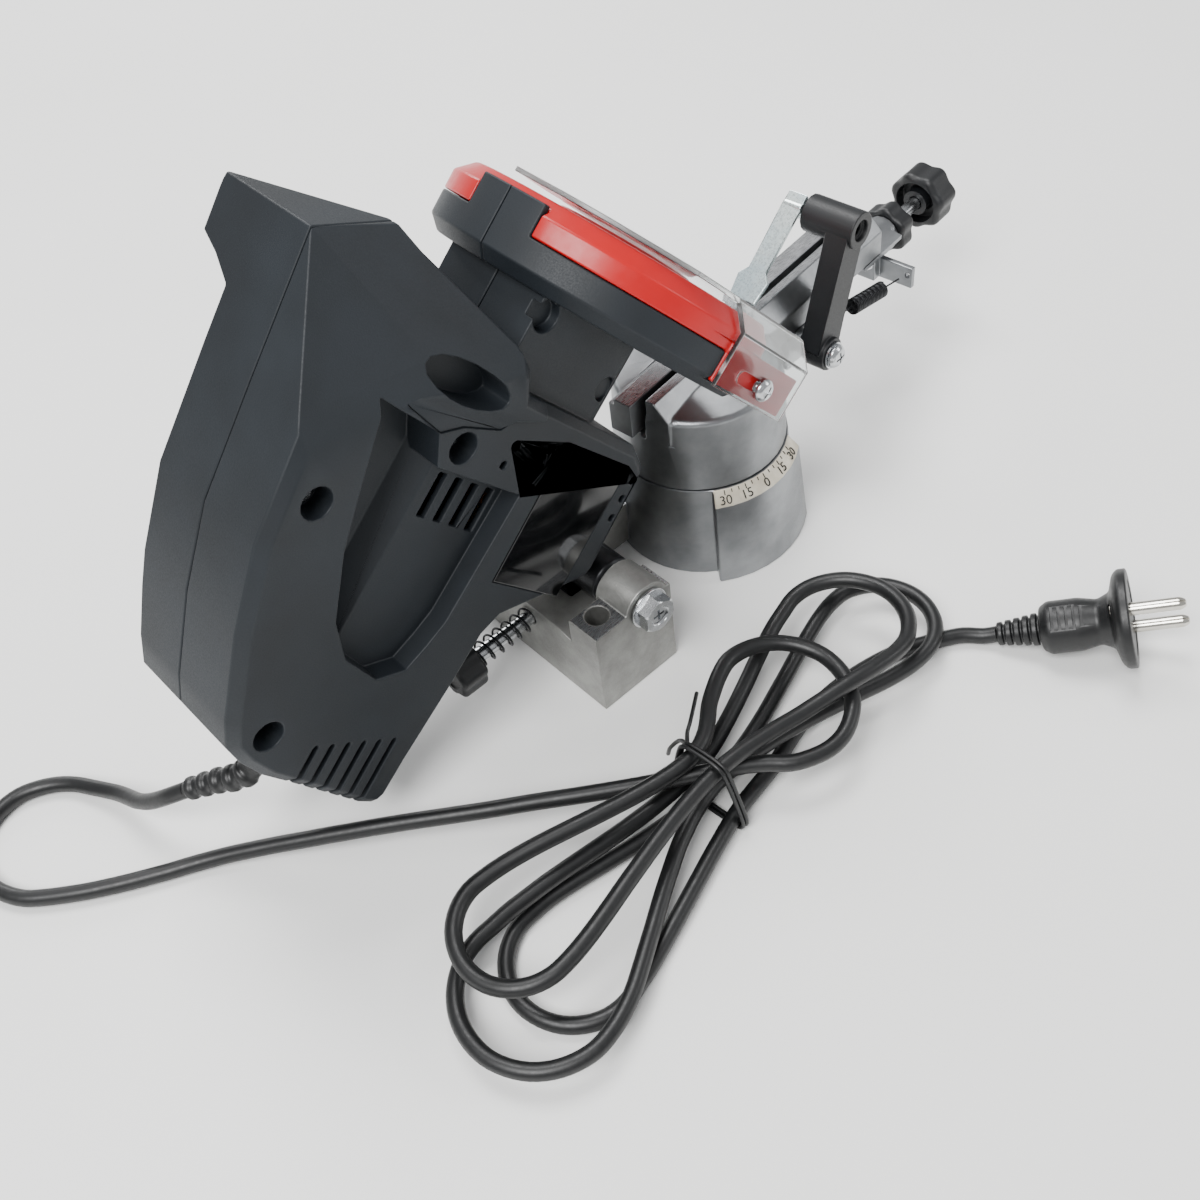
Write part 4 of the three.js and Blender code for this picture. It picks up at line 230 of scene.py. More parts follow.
def soft_corners(profile, radius, steps=4):
    """Rounds the corners of a profile, apart from its two ends."""
    result = [profile[0]]
    for before, corner, after in zip(profile, profile[1:], profile[2:]):
        middle = Vector(corner)
        into, out = Vector(before) - middle, Vector(after) - middle
        reach = min(radius, into.length * 0.45, out.length * 0.45)
        start, end = middle + into.normalized() * reach, middle + out.normalized() * reach
        for k in range(steps + 1):
            share = k / steps
            result.append(tuple(start * (1 - share) ** 2 + middle * 2 * share * (1 - share) + end * share ** 2))
    return result + [profile[-1]]


def carve(piece, cutter, operation="DIFFERENCE"):
    apply_modifier(piece, "BOOLEAN", operation=operation, object=cutter, solver="EXACT")
    bpy.data.objects.remove(cutter)


def block(size, location):
    bpy.ops.object.select_all(action="DESELECT")
    bpy.ops.mesh.primitive_cube_add(size=1, location=location)
    piece = bpy.context.object
    piece.scale = size
    bpy.ops.object.transform_apply(location=True, rotation=True, scale=True)
    return piece


def cylinder(name, radius, low, high, sides=64):
    bpy.ops.object.select_all(action="DESELECT")
    bpy.ops.mesh.primitive_cylinder_add(vertices=sides, radius=radius, depth=high - low,
                                        location=(0, 0, (low + high) / 2))
    piece = bpy.context.object
    piece.name = name
    bpy.ops.object.transform_apply(location=True, rotation=True, scale=True)
    return piece


def joined(name, *pieces):
    select_only(*pieces)
    bpy.ops.object.join()
    piece = bpy.context.object
    piece.name = name
    return piece


def smooth_path(points, step):
    """A centripetal Catmull-Rom curve through the points, sampled about evenly."""
    points = [Vector(p) for p in points]
    ends = [points[0] * 2 - points[1]] + points + [points[-1] * 2 - points[-2]]
    path = []
    for a, b, c, d in zip(ends, ends[1:], ends[2:], ends[3:]):
        first, middle, last = [math.sqrt((q - p).length) for p, q in ((a, b), (b, c), (c, d))]
        leave = ((b - a) / first - (c - a) / (first + middle) + (c - b) / middle) * middle
        arrive = ((c - b) / middle - (d - b) / (middle + last) + (d - c) / last) * middle
        count = max(1, round((c - b).length / step))
        for k in range(count):
            t = k / count
            path.append(b * (2 * t ** 3 - 3 * t ** 2 + 1) + leave * (t ** 3 - 2 * t ** 2 + t)
                        + c * (3 * t ** 2 - 2 * t ** 3) + arrive * (t ** 3 - t ** 2))
    return path + [points[-1]]


def wire(name, points, radius, sides=16, radii=None):
    """A round bar along points in millimetres, as a mesh. Radii may change it from point to point."""
    curve = bpy.data.curves.new(name, "CURVE")
    curve.dimensions = "3D"
    curve.bevel_depth = radius
    curve.bevel_resolution = sides // 4 - 1
    curve.use_fill_caps = True
    spline = curve.splines.new("POLY")
    spline.points.add(len(points) - 1)
    for k, point in enumerate(points):
        spline.points[k].co = (*point, 1)
        spline.points[k].radius = radii[k] / radius if radii else 1
    piece = bpy.data.objects.new(name, curve)
    bpy.context.scene.collection.objects.link(piece)
    select_only(piece)
    bpy.ops.object.convert(target="MESH")
    return bpy.context.object


def coil_points(radius, turns, start, end, steps=24):
    """A helix from start to end, with the first curl on its side axis."""
    start, end = Vector(start), Vector(end)
    along = (end - start).normalized()
    side = along.cross(Vector((0, 1, 0))).normalized() if abs(along.y) < 0.9 else Vector((1, 0, 0))
    other = along.cross(side)
    count = round(turns * steps)
    return [start.lerp(end, k / count) + side * radius * math.cos(2 * math.pi * turns * k / count)
            + other * radius * math.sin(2 * math.pi * turns * k / count) for k in range(count + 1)]


# Materials
def add_node(tree, kind, inputs=None, **settings):
    """Adds a node with its settings, and sets or links its inputs."""
    node = tree.nodes.new(kind)
    for name, value in settings.items():
        setattr(node, name, value)
    for name, value in (inputs or {}).items():
        if isinstance(value, bpy.types.NodeSocket):
            tree.links.new(value, node.inputs[name])
        else:
            node.inputs[name].default_value = value
    return node


def surface(name, light, dark, patch, grain, relief, rough, metallic=0.0, stretch=(1, 1, 1), **shader):
    """A finish with large soft patches between two colours, and a fine grain in its relief and roughness.

    Patch and grain are sizes in millimetres, relief is the grain's height in millimetres, and rough is
    the least and most roughness. Stretch draws the grain out, as brushing or turning does.
    """
    material = bpy.data.materials.new(name)
    material.use_nodes = True
    tree = material.node_tree
    tree.nodes.clear()
    place_of = add_node(tree, "ShaderNodeTexCoord").outputs["Object"]
    patches = add_node(tree, "ShaderNodeTexNoise", {"Vector": place_of, "Scale": 1 / (patch * MM),
                                                    "Detail": 3.0, "Roughness": 0.6})
    drawn = add_node(tree, "ShaderNodeMapping", {"Vector": place_of, "Scale": stretch})
    grains = add_node(tree, "ShaderNodeTexNoise", {"Vector": drawn.outputs["Vector"], "Scale": 1 / (grain * MM),
                                                   "Detail": 2.0, "Roughness": 0.5})
    blend = add_node(tree, "ShaderNodeMapRange", {"Value": patches.outputs["Fac"], "From Min": 0.35,
                                                  "From Max": 0.65})
    shade = add_node(tree, "ShaderNodeMix", {"Factor": blend.outputs["Result"]}, data_type="RGBA")
    shade.inputs["A"].default_value = light
    shade.inputs["B"].default_value = dark
    gloss = add_node(tree, "ShaderNodeMapRange", {"Value": grains.outputs["Fac"], "From Min": 0.3,
                                                  "From Max": 0.7, "To Min": rough[0], "To Max": rough[1]})
    bump = add_node(tree, "ShaderNodeBump", {"Height": grains.outputs["Fac"], "Distance": relief * MM,
                                             "Strength": 1.0})
    bsdf = add_node(tree, "ShaderNodeBsdfPrincipled", {
        "Base Color": shade.outputs["Result"], "Roughness": gloss.outputs["Result"],
        "Normal": bump.outputs["Normal"], "Metallic": metallic, **shader})
    add_node(tree, "ShaderNodeOutputMaterial", {"Surface": bsdf.outputs["BSDF"]})
    return material


def finishes(tones):
    """Every finish of the machine, named for what the real one is."""
    made = {}
    # ABS moulded in a spark-eroded tool: blue black, matt, with a grain of about half a millimetre, and large
    # lighter patches of painted sheen
    made["moulded ABS"] = surface("moulded ABS", tones.shell, tones.shell_painted_sheen, 45, 0.5, 0.03, (0.48, 0.6),
                                  **{"Specular IOR Level": 0.35})
    # ABS moulded in a polished tool and coloured red: a soft gloss with a faint orange peel
    made["red ABS"] = surface("polished red ABS", tones.cover, linear("#a8070d"), 60, 2.5, 0.02, (0.3, 0.38),
                              **{"Specular IOR Level": 0.45})
    # Glass-filled nylon in knobs, arm and levers: black, slightly waxy
    made["nylon"] = surface("moulded black nylon", tones.moulding, linear("#111316"), 20, 0.6, 0.02, (0.42, 0.55))
    # Polished black acrylic of the bare name plate: deep gloss
    made["plate"] = surface("polished black acrylic", linear("#050607"), linear("#08090b"), 50, 4, 0.002,
                            (0.06, 0.1), **{"Coat Weight": 0.5, "Coat Roughness": 0.04})
    # Die-cast aluminium, tumbled to a satin skin, with cooling shades and a fine pitted grain
    made["die-cast aluminium"] = surface("tumbled die-cast aluminium", tones.casting, tones.casting_dark, 16, 0.45,
                                         0.03, (0.3, 0.44), 1.0)
    # Sand-blasted cast aluminium of the foot: paler and coarser, with a grain that shows
    made["blasted aluminium"] = surface("sand-blasted cast aluminium", linear("#a3a3a0"), linear("#8b8b88"), 12, 0.7,
                                        0.09, (0.42, 0.56), 0.9)
    # Milled aluminium of the pads: brighter, with tool marks drawn out along X
    made["milled aluminium"] = surface("milled aluminium", linear("#bfc0c2"), linear("#a9aaac"), 8, 0.5, 0.02,
                                       (0.22, 0.36), 0.95, (0.15, 1, 1))
    # Turned ledge of the scale: warm and pale between the filled marks
    made["scale ledge"] = surface("turned and lacquered aluminium", tones.scale, linear("#cfc6b2"), 9, 0.6, 0.02,
                                  (0.36, 0.46), 0.35)
    # Filled marks: matt ink
    made["ink"] = surface("filled ink", tones.ink, linear("#2a2825"), 2, 0.4, 0.01, (0.6, 0.75))
    # Bright zinc on turned steel: a hard gleam with fine turning marks
    made["steel"] = surface("bright zinc-plated steel", linear("#d2d4d6"), linear("#b9bbbd"), 5, 0.35, 0.008,
                            (0.16, 0.28), 1.0)
    # Blue zinc passivation on pressed strip: pale and bluish, with broad clouds
    made["blue zinc"] = surface("blue zinc-plated strip", tones.zinc, linear("#dbe4e2"), 14, 0.9, 0.006,
                                (0.24, 0.34), 0.9)
    # Drawn steel bar: fine lines round it
    made["bar"] = surface("drawn steel bar", linear("#c6c8ca"), linear("#a9abad"), 6, 0.4, 0.01, (0.18, 0.3), 1.0,
                          (6, 1, 1))
    # Blackened spring steel: oily black with a soft shine
    made["spring"] = surface("blackened spring steel", linear("#17181a"), linear("#232427"), 4, 0.5, 0.01,
                             (0.3, 0.42), 0.6)
    # Flexible PVC of cord, boot and plug: black, satin, faintly wavy
    made["pvc"] = surface("extruded flexible PVC", tones.cord, linear("#101112"), 30, 1.6, 0.02, (0.38, 0.48))
    # Nickel-plated brass of the pins: warm white mirror
    made["nickel"] = surface("nickel-plated brass", linear("#d8d5cd"), linear("#c9c5bb"), 6, 1.2, 0.003,
                             (0.12, 0.2), 1.0)
    # Bonded aluminium oxide: pink grit in a darker bond, grains of about 0.4 mm drawn at twice that
    made["grit"] = surface("bonded aluminium oxide", tones.wheel, linear("#7c3f3f"), 1.6, 0.8, 0.25, (0.85, 0.98))
    # Parts inside the shell: enamelled copper, laminations, brass and carbon
    made["copper"] = surface("enamelled copper wire", linear("#b06a35"), linear("#8a4c22"), 3, 0.7, 0.06,
                             (0.3, 0.42), 0.9, (1, 1, 4))
    made["laminations"] = surface("stacked steel laminations", linear("#7d8083"), linear("#5f6265"), 5, 0.5, 0.04,
                                  (0.4, 0.55), 0.9, (6, 1, 1))
    made["brass"] = surface("drawn brass", linear("#c9a14a"), linear("#b08a3c"), 6, 0.6, 0.008, (0.24, 0.36), 1.0)
    made["carbon"] = surface("pressed carbon", linear("#2b2b2d"), linear("#1f1f21"), 3, 0.4, 0.02, (0.6, 0.8), 0.1)
    made["clear"] = clear_sheet("folded clear polycarbonate", 0.03, linear("#f6fafa"))
    made["clear edge"] = clear_sheet("cut polycarbonate edge", 0.32, linear("#fdfefe"))
    return made


def clear_sheet(name, roughness, tint):
    """Clear polycarbonate, bright along its cut edges, which are rougher than its faces."""
    material = bpy.data.materials.new(name)
    material.use_nodes = True
    tree = material.node_tree
    tree.nodes.clear()
    place_of = add_node(tree, "ShaderNodeTexCoord").outputs["Object"]
    waves = add_node(tree, "ShaderNodeTexNoise", {"Vector": place_of, "Scale": 1 / (12 * MM), "Detail": 1.0})
    bump = add_node(tree, "ShaderNodeBump", {"Height": waves.outputs["Fac"], "Distance": 0.05 * MM,
                                             "Strength": 1.0})
    bsdf = add_node(tree, "ShaderNodeBsdfPrincipled", {
        "Base Color": tint, "Roughness": roughness, "IOR": 1.585, "Transmission Weight": 1.0,
        "Normal": bump.outputs["Normal"]})
    add_node(tree, "ShaderNodeOutputMaterial", {"Surface": bsdf.outputs["BSDF"]})
    return material


FINISH = {}


# Stage: a round floor, area lights and the camera that was fitted to the photograph
FLOOR_RADIUS = 12
FLOOR_DROP = 0.0002
WORLD_STRENGTH = 0.6
LIGHTS = [  # name, place and size across in metres, power in watts
    ("key", (-0.9, -0.4, 1.4), 0.8, 34),
    ("fill", (1.3, -1.1, 0.9), 0.6, 6),
    ("top", (0.3, 0.6, 1.6), 0.8, 26),
    ("rim", (0.5, 1.5, 0.7), 0.6, 10),
]
LIGHTS_AIM = Vector((0, 0, 0.05))
CAMERA_SPOT = Vector((-208.6, -312.9, 435.6))
CAMERA_AIM = Vector((-3.8, -33.5, 40))
CAMERA_ROLL = math.radians(-8.69)
CAMERA_LENS = 42.73


class SHARPENER_OT_stage(bpy.types.Operator):
    """Sets up the pale floor, the soft lights and the camera at the photograph's angle"""

    bl_idname = "sharpener.stage"
    bl_label = "Stage"

    def execute(self, context):
        bpy.ops.object.select_all(action="DESELECT")
        bpy.ops.mesh.primitive_circle_add(vertices=96, radius=FLOOR_RADIUS, fill_type="NGON",
                                          location=(0, 0, -FLOOR_DROP))
        floor = context.object
        floor.name = "floor"
        bpy.ops.object.transform_apply(location=True, rotation=True, scale=True)
        tone = context.scene.sharpener_colours.floor
        floor.data.materials.append(
            surface("matt studio floor", tone, linear("#f0f0ee"), 400, 3, 0.02, (0.8, 0.95)))

        world = bpy.data.worlds.new("studio")
        context.scene.world = world
        world.use_nodes = True
        back = world.node_tree.nodes["Background"].inputs
        back["Color"].default_value = linear("#f7f8fa")
        back["Strength"].default_value = WORLD_STRENGTH

        for name, spot, size, power in LIGHTS:
            light = bpy.data.lights.new(name, "AREA")
            light.size = size
            light.energy = power
            lamp = bpy.data.objects.new(name, light)
            context.scene.collection.objects.link(lamp)
            lamp.location = spot
            lamp.rotation_euler = (LIGHTS_AIM - Vector(spot)).to_track_quat("-Z", "Y").to_euler()

        spot, target = CAMERA_SPOT * MM, CAMERA_AIM * MM
        forward = (target - spot).normalized()
        right = forward.cross(Vector((0, 0, 1))).normalized()
        up = right.cross(forward)
        cosine, sine = math.cos(CAMERA_ROLL), math.sin(CAMERA_ROLL)
        right, up = right * cosine + up * sine, up * cosine - right * sine
        data = bpy.data.cameras.new("camera")
        data.sensor_width = 36
        data.lens = CAMERA_LENS
        data.clip_start = 0.01
        camera = bpy.data.objects.new("camera", data)
        context.scene.collection.objects.link(camera)
        camera.matrix_world = Matrix((right, up, -forward)).transposed().to_4x4()
        camera.location = spot
        context.scene.camera = camera
        return {"FINISHED"}


# Cord, in millimetres: the route of its centreline from the boot over the floor and round the hank to the plug
CORD_ROUTE = [
    (-157.2, 17.7, 29.6), (-162, 22.6, 26.2), (-165.3, 27.6, 22.1), (-168.1, 33, 17.9),
    (-170.3, 39.1, 14.1), (-171.6, 45.7, 10.9), (-173.2, 52.6, 8.2), (-175.8, 59.3, 6.1),
    (-178.9, 65.9, 4.6), (-182.4, 72.5, 3.6), (-187.3, 78.1, 3.2), (-193.5, 82.3, 3.1), (-200.5, 84.8, 3.1),
    (-208, 84.4, 3.1), (-215, 81.8, 3.1), (-220.8, 77.1, 3.1), (-224.6, 70.7, 3.1), (-226.8, 63.6, 3.1),
    (-226.5, 56.1, 3.1), (-224.2, 49, 3.1), (-220.3, 42.6, 3.1), (-214.8, 37.5, 3.1), (-208.9, 32.9, 3.1),
    (-202.8, 28.5, 3.1), (-196.5, 24.5, 3.1), (-190, 20.6, 3.1), (-183.5, 17, 3.1), (-176.9, 13.4, 3.1),
    (-170.2, 10, 3.2), (-163.8, 6.2, 3.7), (-157.6, 1.9, 4.7), (-151.7, -2.7, 5.8), (-145.8, -7.3, 6.8),
    (-140, -12.1, 7.9), (-134.2, -16.9, 8.9), (-128.4, -21.7, 10), (-122.7, -26.5, 11), (-116.9, -31.3, 12),
    (-111.1, -36.1, 12.8), (-105.3, -40.8, 13.4), (-99.6, -45.6, 14.1), (-93.8, -50.4, 14.7),
    (-88, -55.2, 15.3), (-82.2, -59.9, 15.9), (-76.3, -64.6, 16.6), (-70.4, -69.2, 17.1),
    (-64.5, -73.9, 17.5), (-58.6, -78.5, 17.8), (-52.6, -83, 18), (-46.6, -87.4, 18.2),
    (-40.5, -91.8, 18.4), (-34.3, -96.1, 18.6), (-28.1, -100.3, 18.8), (-21.9, -104.5, 18.9),
    (-15.7, -108.7, 18.9), (-9.5, -112.9, 18.7), (-3.7, -117.6, 18.5), (1.5, -123, 18.3),
    (8.1, -126.5, 18.1), (15.3, -128.6, 18), (22.8, -128.5, 18.3), (29.8, -125.9, 19.2), (35.8, -121.5, 20),
    (40.1, -115.4, 20.6), (42.5, -108.3, 21.3), (42.8, -100.8, 21.9), (40.6, -93.7, 22.5),
    (36.6, -87.4, 23.1), (30.8, -82.7, 23.8), (23.9, -79.8, 24.3), (16.4, -79.1, 24.7), (9.3, -81.4, 25),
    (2.7, -84.8, 25.2), (-3.7, -88.7, 25.4), (-9.5, -93.5, 25.6), (-15.7, -97.6, 25.8), (-22.7, -99.9, 26),
    (-30.3, -100.1, 26.1), (-37.8, -99.1, 25.9), (-45.1, -97.6, 25.7), (-52.4, -95.8, 25.5),
    (-59.6, -93.8, 25.3), (-66.8, -91.7, 25.1), (-74, -89.5, 24.8), (-81.2, -87.3, 24.4),
    (-88.4, -85.2, 23.8), (-95.6, -83.4, 23.1), (-103, -82.2, 22.5), (-110.5, -81.9, 21.9),
    (-117.5, -84.3, 21.3), (-123.3, -89, 20.6), (-127.1, -95.5, 19.9), (-128.5, -102.8, 19.3),
    (-127.2, -110.2, 19.2), (-123.6, -116.7, 19.9), (-117.9, -121.5, 20.5), (-110.9, -124, 21.1),
    (-103.4, -124.1, 21.7), (-95.9, -123.3, 22.4), (-88.5, -122, 23), (-81.2, -120.5, 23.6),
    (-73.9, -118.9, 24.2), (-66.5, -117.3, 24.6), (-59.2, -115.7, 24.9), (-51.8, -114.2, 25.1),
    (-44.5, -112.9, 25.3), (-37, -111.8, 25.5), (-29.6, -110.9, 25.7), (-22.1, -110.5, 25.9),
    (-14.6, -110.7, 26.1), (-7.1, -111.3, 26), (0.3, -112.3, 25.8), (7.7, -113.4, 25.6),
    (15.1, -114.8, 25.5), (22.5, -116.2, 26), (29.8, -117.7, 26.8), (37.2, -119.1, 27.2),
    (44.6, -120.3, 26.9), (52.1, -121, 26.2), (59.6, -121.1, 25.3), (66.9, -119.8, 24.2),
    (73.3, -116, 23.3), (78.4, -110.5, 22.6), (81.5, -103.7, 22), (82.5, -96.3, 21.4), (81.1, -89, 20.7),
    (77.6, -82.3, 20.1), (72.2, -77.1, 19.5), (65.6, -73.7, 18.9), (58.2, -72.7, 18.2), (50.8, -74.1, 17.3),
    (43.6, -75.8, 16.3), (36.4, -78.2, 15.3), (29.4, -80.7, 14.3), (22.3, -83.4, 13.2), (15.3, -86, 12.2),
    (8.2, -88.5, 11.1), (1.1, -90.8, 10.1), (-6.1, -93, 9.2), (-13.4, -94.8, 9), (-20.7, -96.1, 9.2),
    (-28.2, -96.8, 9.5), (-35.7, -97, 9.8), (-43.2, -96.9, 10), (-50.7, -96.4, 10.2), (-58.2, -95.8, 10.4),
    (-65.6, -95, 10.6), (-73.1, -94.1, 10.7), (-80.5, -93.2, 10.7), (-88, -92.3, 10.5),
    (-95.4, -91.6, 10.1), (-102.9, -91, 9.8), (-110.4, -91.1, 9.6), (-117.9, -91.3, 9.4),
    (-125.1, -93.2, 9.2), (-131.4, -97.3, 9), (-136.4, -102.8, 8.8), (-139.8, -109.5, 8.6),
    (-141.3, -116.8, 8.5), (-141, -124.3, 8.6), (-138.6, -131.4, 8.9), (-134.5, -137.7, 9.1),
    (-128.9, -142.6, 9.3), (-122.2, -145.9, 9.5), (-114.9, -147.4, 9.7), (-107.4, -146.6, 9.9),
    (-100.3, -144.6, 10.1), (-93.3, -141.7, 10.4), (-86.7, -138.1, 10.7), (-80.2, -134.3, 10.8),
    (-73.8, -130.5, 10.5), (-67.4, -126.6, 10.4), (-60.9, -122.8, 10.5), (-54.3, -119.2, 10.7),
    (-47.7, -115.7, 10.9), (-40.8, -112.6, 11.1), (-33.8, -109.9, 11.3), (-26.6, -107.9, 11.5),
    (-19.2, -106.7, 11.6), (-11.7, -106.4, 11.5), (-4.2, -106.8, 11.4), (3.2, -107.7, 11.4),
    (10.6, -108.9, 11.6), (18, -110.4, 11.6), (25.3, -112, 11.4), (32.6, -113.8, 11.2), (39.8, -115.7, 11),
    (47.1, -117.5, 10.7), (54.4, -119.4, 10.2), (61.7, -121, 9.9), (69.1, -122.1, 9.9),
    (76.6, -122.2, 10.1), (83.8, -120.4, 10.3), (89.9, -116, 10.3), (94.1, -109.8, 10.1),
    (95.9, -102.6, 9.9), (95.1, -95.2, 9.7), (91.9, -88.4, 9.5), (86.5, -83.3, 9.3), (79.8, -80.2, 9.1),
    (72.3, -79.9, 8.9), (64.9, -81, 8.6), (57.6, -82.8, 8.1), (50.4, -84.9, 7.4), (43.2, -87.1, 6.8),
    (36.1, -89.4, 6.2), (28.9, -91.6, 5.6), (21.8, -93.8, 4.9), (14.6, -96, 4.6), (7.3, -98, 4.5),
    (0.1, -99.8, 4.7), (-7.3, -101.4, 5), (-14.7, -102.7, 5.2), (-22.1, -103.5, 5.2), (-29.6, -103.6, 5.2),
    (-37.1, -103.1, 5), (-44.5, -102.2, 4.7), (-52, -101, 4.5), (-59.3, -99.6, 4.3), (-66.7, -98.1, 4.1),
    (-74, -96.6, 3.9), (-81.4, -95.2, 3.7), (-88.8, -94.1, 3.4), (-96.3, -93.9, 3.2), (-103.8, -94.6, 3.1),
    (-110.5, -97.8, 3.1), (-115.8, -103, 3.1), (-119.3, -109.6, 3.1), (-120.5, -117, 3.1),
    (-119.2, -124.4, 3.1), (-115.8, -131, 3.1), (-110.4, -136.2, 3.1), (-103.7, -139.5, 3.1),
    (-96.3, -140.2, 3.1), (-89, -138.7, 3.3), (-81.7, -136.9, 3.6), (-74.5, -134.7, 3.8),
    (-67.4, -132.4, 4), (-60.3, -130.1, 4.3), (-53.2, -127.7, 4.5), (-46, -125.3, 4.7),
    (-38.9, -122.9, 4.9), (-31.8, -120.7, 5.1), (-24.6, -118.5, 5.2), (-17.3, -116.7, 5.2),
    (-9.9, -115.4, 5.1), (-2.5, -114.2, 4.9), (4.8, -112.8, 4.7), (12.1, -110.7, 4.5), (19.3, -108.7, 4.3),
    (26.6, -107.2, 4), (34.1, -106.2, 3.8), (41.5, -105.9, 3.6), (49, -106.1, 3.3), (56.5, -106.9, 3.1),
    (63.9, -108.3, 3.1), (71.1, -110.2, 3.1), (78.1, -112.9, 3.1), (84.8, -116.3, 3.1), (91.3, -120, 3.1),
    (97.5, -124.3, 3.2), (102.1, -130.2, 3.5), (105, -133.9, 5.1),
]
LEAD_RADIUS = 3.1
# The boot runs from inside the head through its wall to its end, where the cord leaves it
BOOT_STARTS = [(-90, 0, 95), (-98.8, 0, 95), (-111.13, 0, 95)]
BOOT_END = (-157, 17.5, 29.7)
BOOT_WALL_SHARE = 0.19
BOOT_RIBS = 6
TIE_LOOP = [
    (-23.4, -91.6, 10.3), (-23, -95.9, 28.7), (-22.9, -97.2, 30.1), (-22.7, -99, 30.8), (-21.6, -111.5, 30.8),
    (-21.4, -113.3, 30), (-21.3, -114.6, 28.7), (-20.6, -122.4, 6.2), (-20.6, -122.4, 4.3), (-20.7, -121.7, 2.5),
    (-20.8, -120.3, 1.6), (-21, -118.6, 1.4), (-22.4, -102.5, 1.4), (-23.2, -93.7, 5.2), (-23.3, -92.3, 6.6),
    (-23.4, -91.6, 8.4),
]
TIE_ENDS = [[(-17, -91, 25), (-11, -86, 20), (4, -74, 12)], [(-21, -91, 24), (-22, -87, 17), (-21, -84, 9)]]
SECOND_LOOP = Vector((-1.7, 0.2, 0))

PLUG_ALONG = Vector((0.584, -0.757, 0.292)).normalized()
PLUG_UP = Vector((-0.444, 0.003, 0.899))
PLUG_UP = (PLUG_UP - PLUG_ALONG * PLUG_UP.dot(PLUG_ALONG)).normalized()
PLUG = Matrix.Translation((132, -169, 18.6)) @ Matrix(
    (PLUG_ALONG, PLUG_UP.cross(PLUG_ALONG), PLUG_UP)).transposed().to_4x4()
PIN_PITCH = 19


def cord_boot():
    """The ribbed strain relief, tapering from the housing wall to the cord."""
    inside, wall, outward = [HEAD @ Vector(spot) for spot in BOOT_STARTS]
    end = Vector(BOOT_END)
    path = smooth_path([inside, wall, outward, end.lerp(outward, 0.45), end], 0.5)
    count = len(path) - 1
    radii = []
    for k in range(count + 1):
        share = k / count
        along = (share - BOOT_WALL_SHARE) / (1 - BOOT_WALL_SHARE)
        if share < BOOT_WALL_SHARE - 0.13:
            radius = LEAD_RADIUS
        elif along < 0.05:
            radius = 4.6
        elif along < 0.12:
            radius = 6.4 - 0.5 * abs(along - 0.085) / 0.035
        else:
            taper = (along - 0.12) / 0.88
            wave = math.cos(2 * math.pi * BOOT_RIBS * taper)
            radius = 5.3 - 1.5 * taper + 0.45 * max(-1, min(1, -wave * 1.8)) - 0.1
        radii.append(radius)
    return wire("cord_boot_ribbed", path, LEAD_RADIUS, 32, radii)


def plug_body():
    """Two-pin plug: ribbed boot, waisted grip, and a round flange with a raised face."""
    profile = [(0, -46)]
    for k in range(5):
        low, radius = -46 + k * 3.2, 4.5 + k * 0.42
        profile += [(radius, low), (radius, low + 2.1), (radius - 1, low + 2.25), (radius - 1, low + 3.15)]
    profile += [(8, -30), (10, -27), (10, -16), (8.5, -9), (10.5, -4.6), (16.5, -2.8), (18.5, -1), (18.5, 2.1),
                (17.6, 2.5), (14.4, 2.5), (14.2, 2.1), (0, 2.1)]
    body = turned("plug_body_moulded", soft_corners(profile, 1.1), 80)
    for side in (-1, 1):
        cutter = cylinder("cutter", 2.7, -5, 5, 32)
        cutter.location = (side * PIN_PITCH / 2, 0, 0)
        carve(body, cutter)
    for side in (1, -1):
        for row in range(5):
            groove = block((3.5, 12, 1.1), (side * 10.6, 0, -25 + row * 2.6))
            carve(body, groove)
    smooth(body, 35)
    return body


class SHARPENER_OT_cord(bpy.types.Operator):
    """Lays the mains cord with its boot, hank, tie and two-pin plug"""

    bl_idname = "sharpener.cord"
    bl_label = "Cord, boot, tie and plug"

    def execute(self, context):
        sizes = context.scene.sharpener_sizes
        path = smooth_path(CORD_ROUTE, 2.5)
        cord = wire("mains_cord", path, sizes.cord_radius / MM, 16)
        place(cord, MACHINE)
        smooth(cord, 60)
        cord.data.materials.clear()
        cord.data.materials.append(FINISH["pvc"])

        boot = cord_boot()
        place(boot, MACHINE)
        smooth(boot, 50)
        finished(boot, FINISH["pvc"], ["cord_boot"])

        loop = smooth_path([Vector(p) for p in TIE_LOOP + TIE_LOOP[:1]], 1.0)
        knot = TIE_LOOP[2]
        wires = [wire("tie_loop", loop, sizes.wire_radius / MM, 12)]
        wires += [wire("tie_end", smooth_path([knot, *end], 1.0), sizes.wire_radius / MM, 12)
                  for end in TIE_ENDS]
        second = [p + SECOND_LOOP for p in loop]
        wires.append(wire("tie_loop_2", second, sizes.wire_radius / MM, 12))
        tie = joined("cord_tie_wire", *wires)
        place(tie, MACHINE)
        smooth(tie, 60)
        finished(tie, FINISH["pvc"], ["cord_tie"])

        body = plug_body()
        place(body, PLUG @ FACING["+x"])
        finished(body, FINISH["pvc"], ["plug_body"])
        for k, side in enumerate((-1, 1)):
            profile = soft_corners([(0, -4.6), (2.4, -4.6), (2.4, 19.6), (1.3, 21.5), (0, 21.5)], 1.2)
            pin = turned(f"plug_pin_{k + 1}_rounded", profile, 40)
            carve(pin, block((6, 0.35, 9), (0, 0, 19)))
            smooth(pin, 40)
            place(pin, PLUG @ Matrix.Translation((0, 0, side * PIN_PITCH / 2)) @ FACING["+x"])
            finished(pin, FINISH["nickel"], [f"plug_pin_{k + 1}"])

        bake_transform(cord)
        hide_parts("cord_lead", "cord_hank")
        return {"FINISHED"}


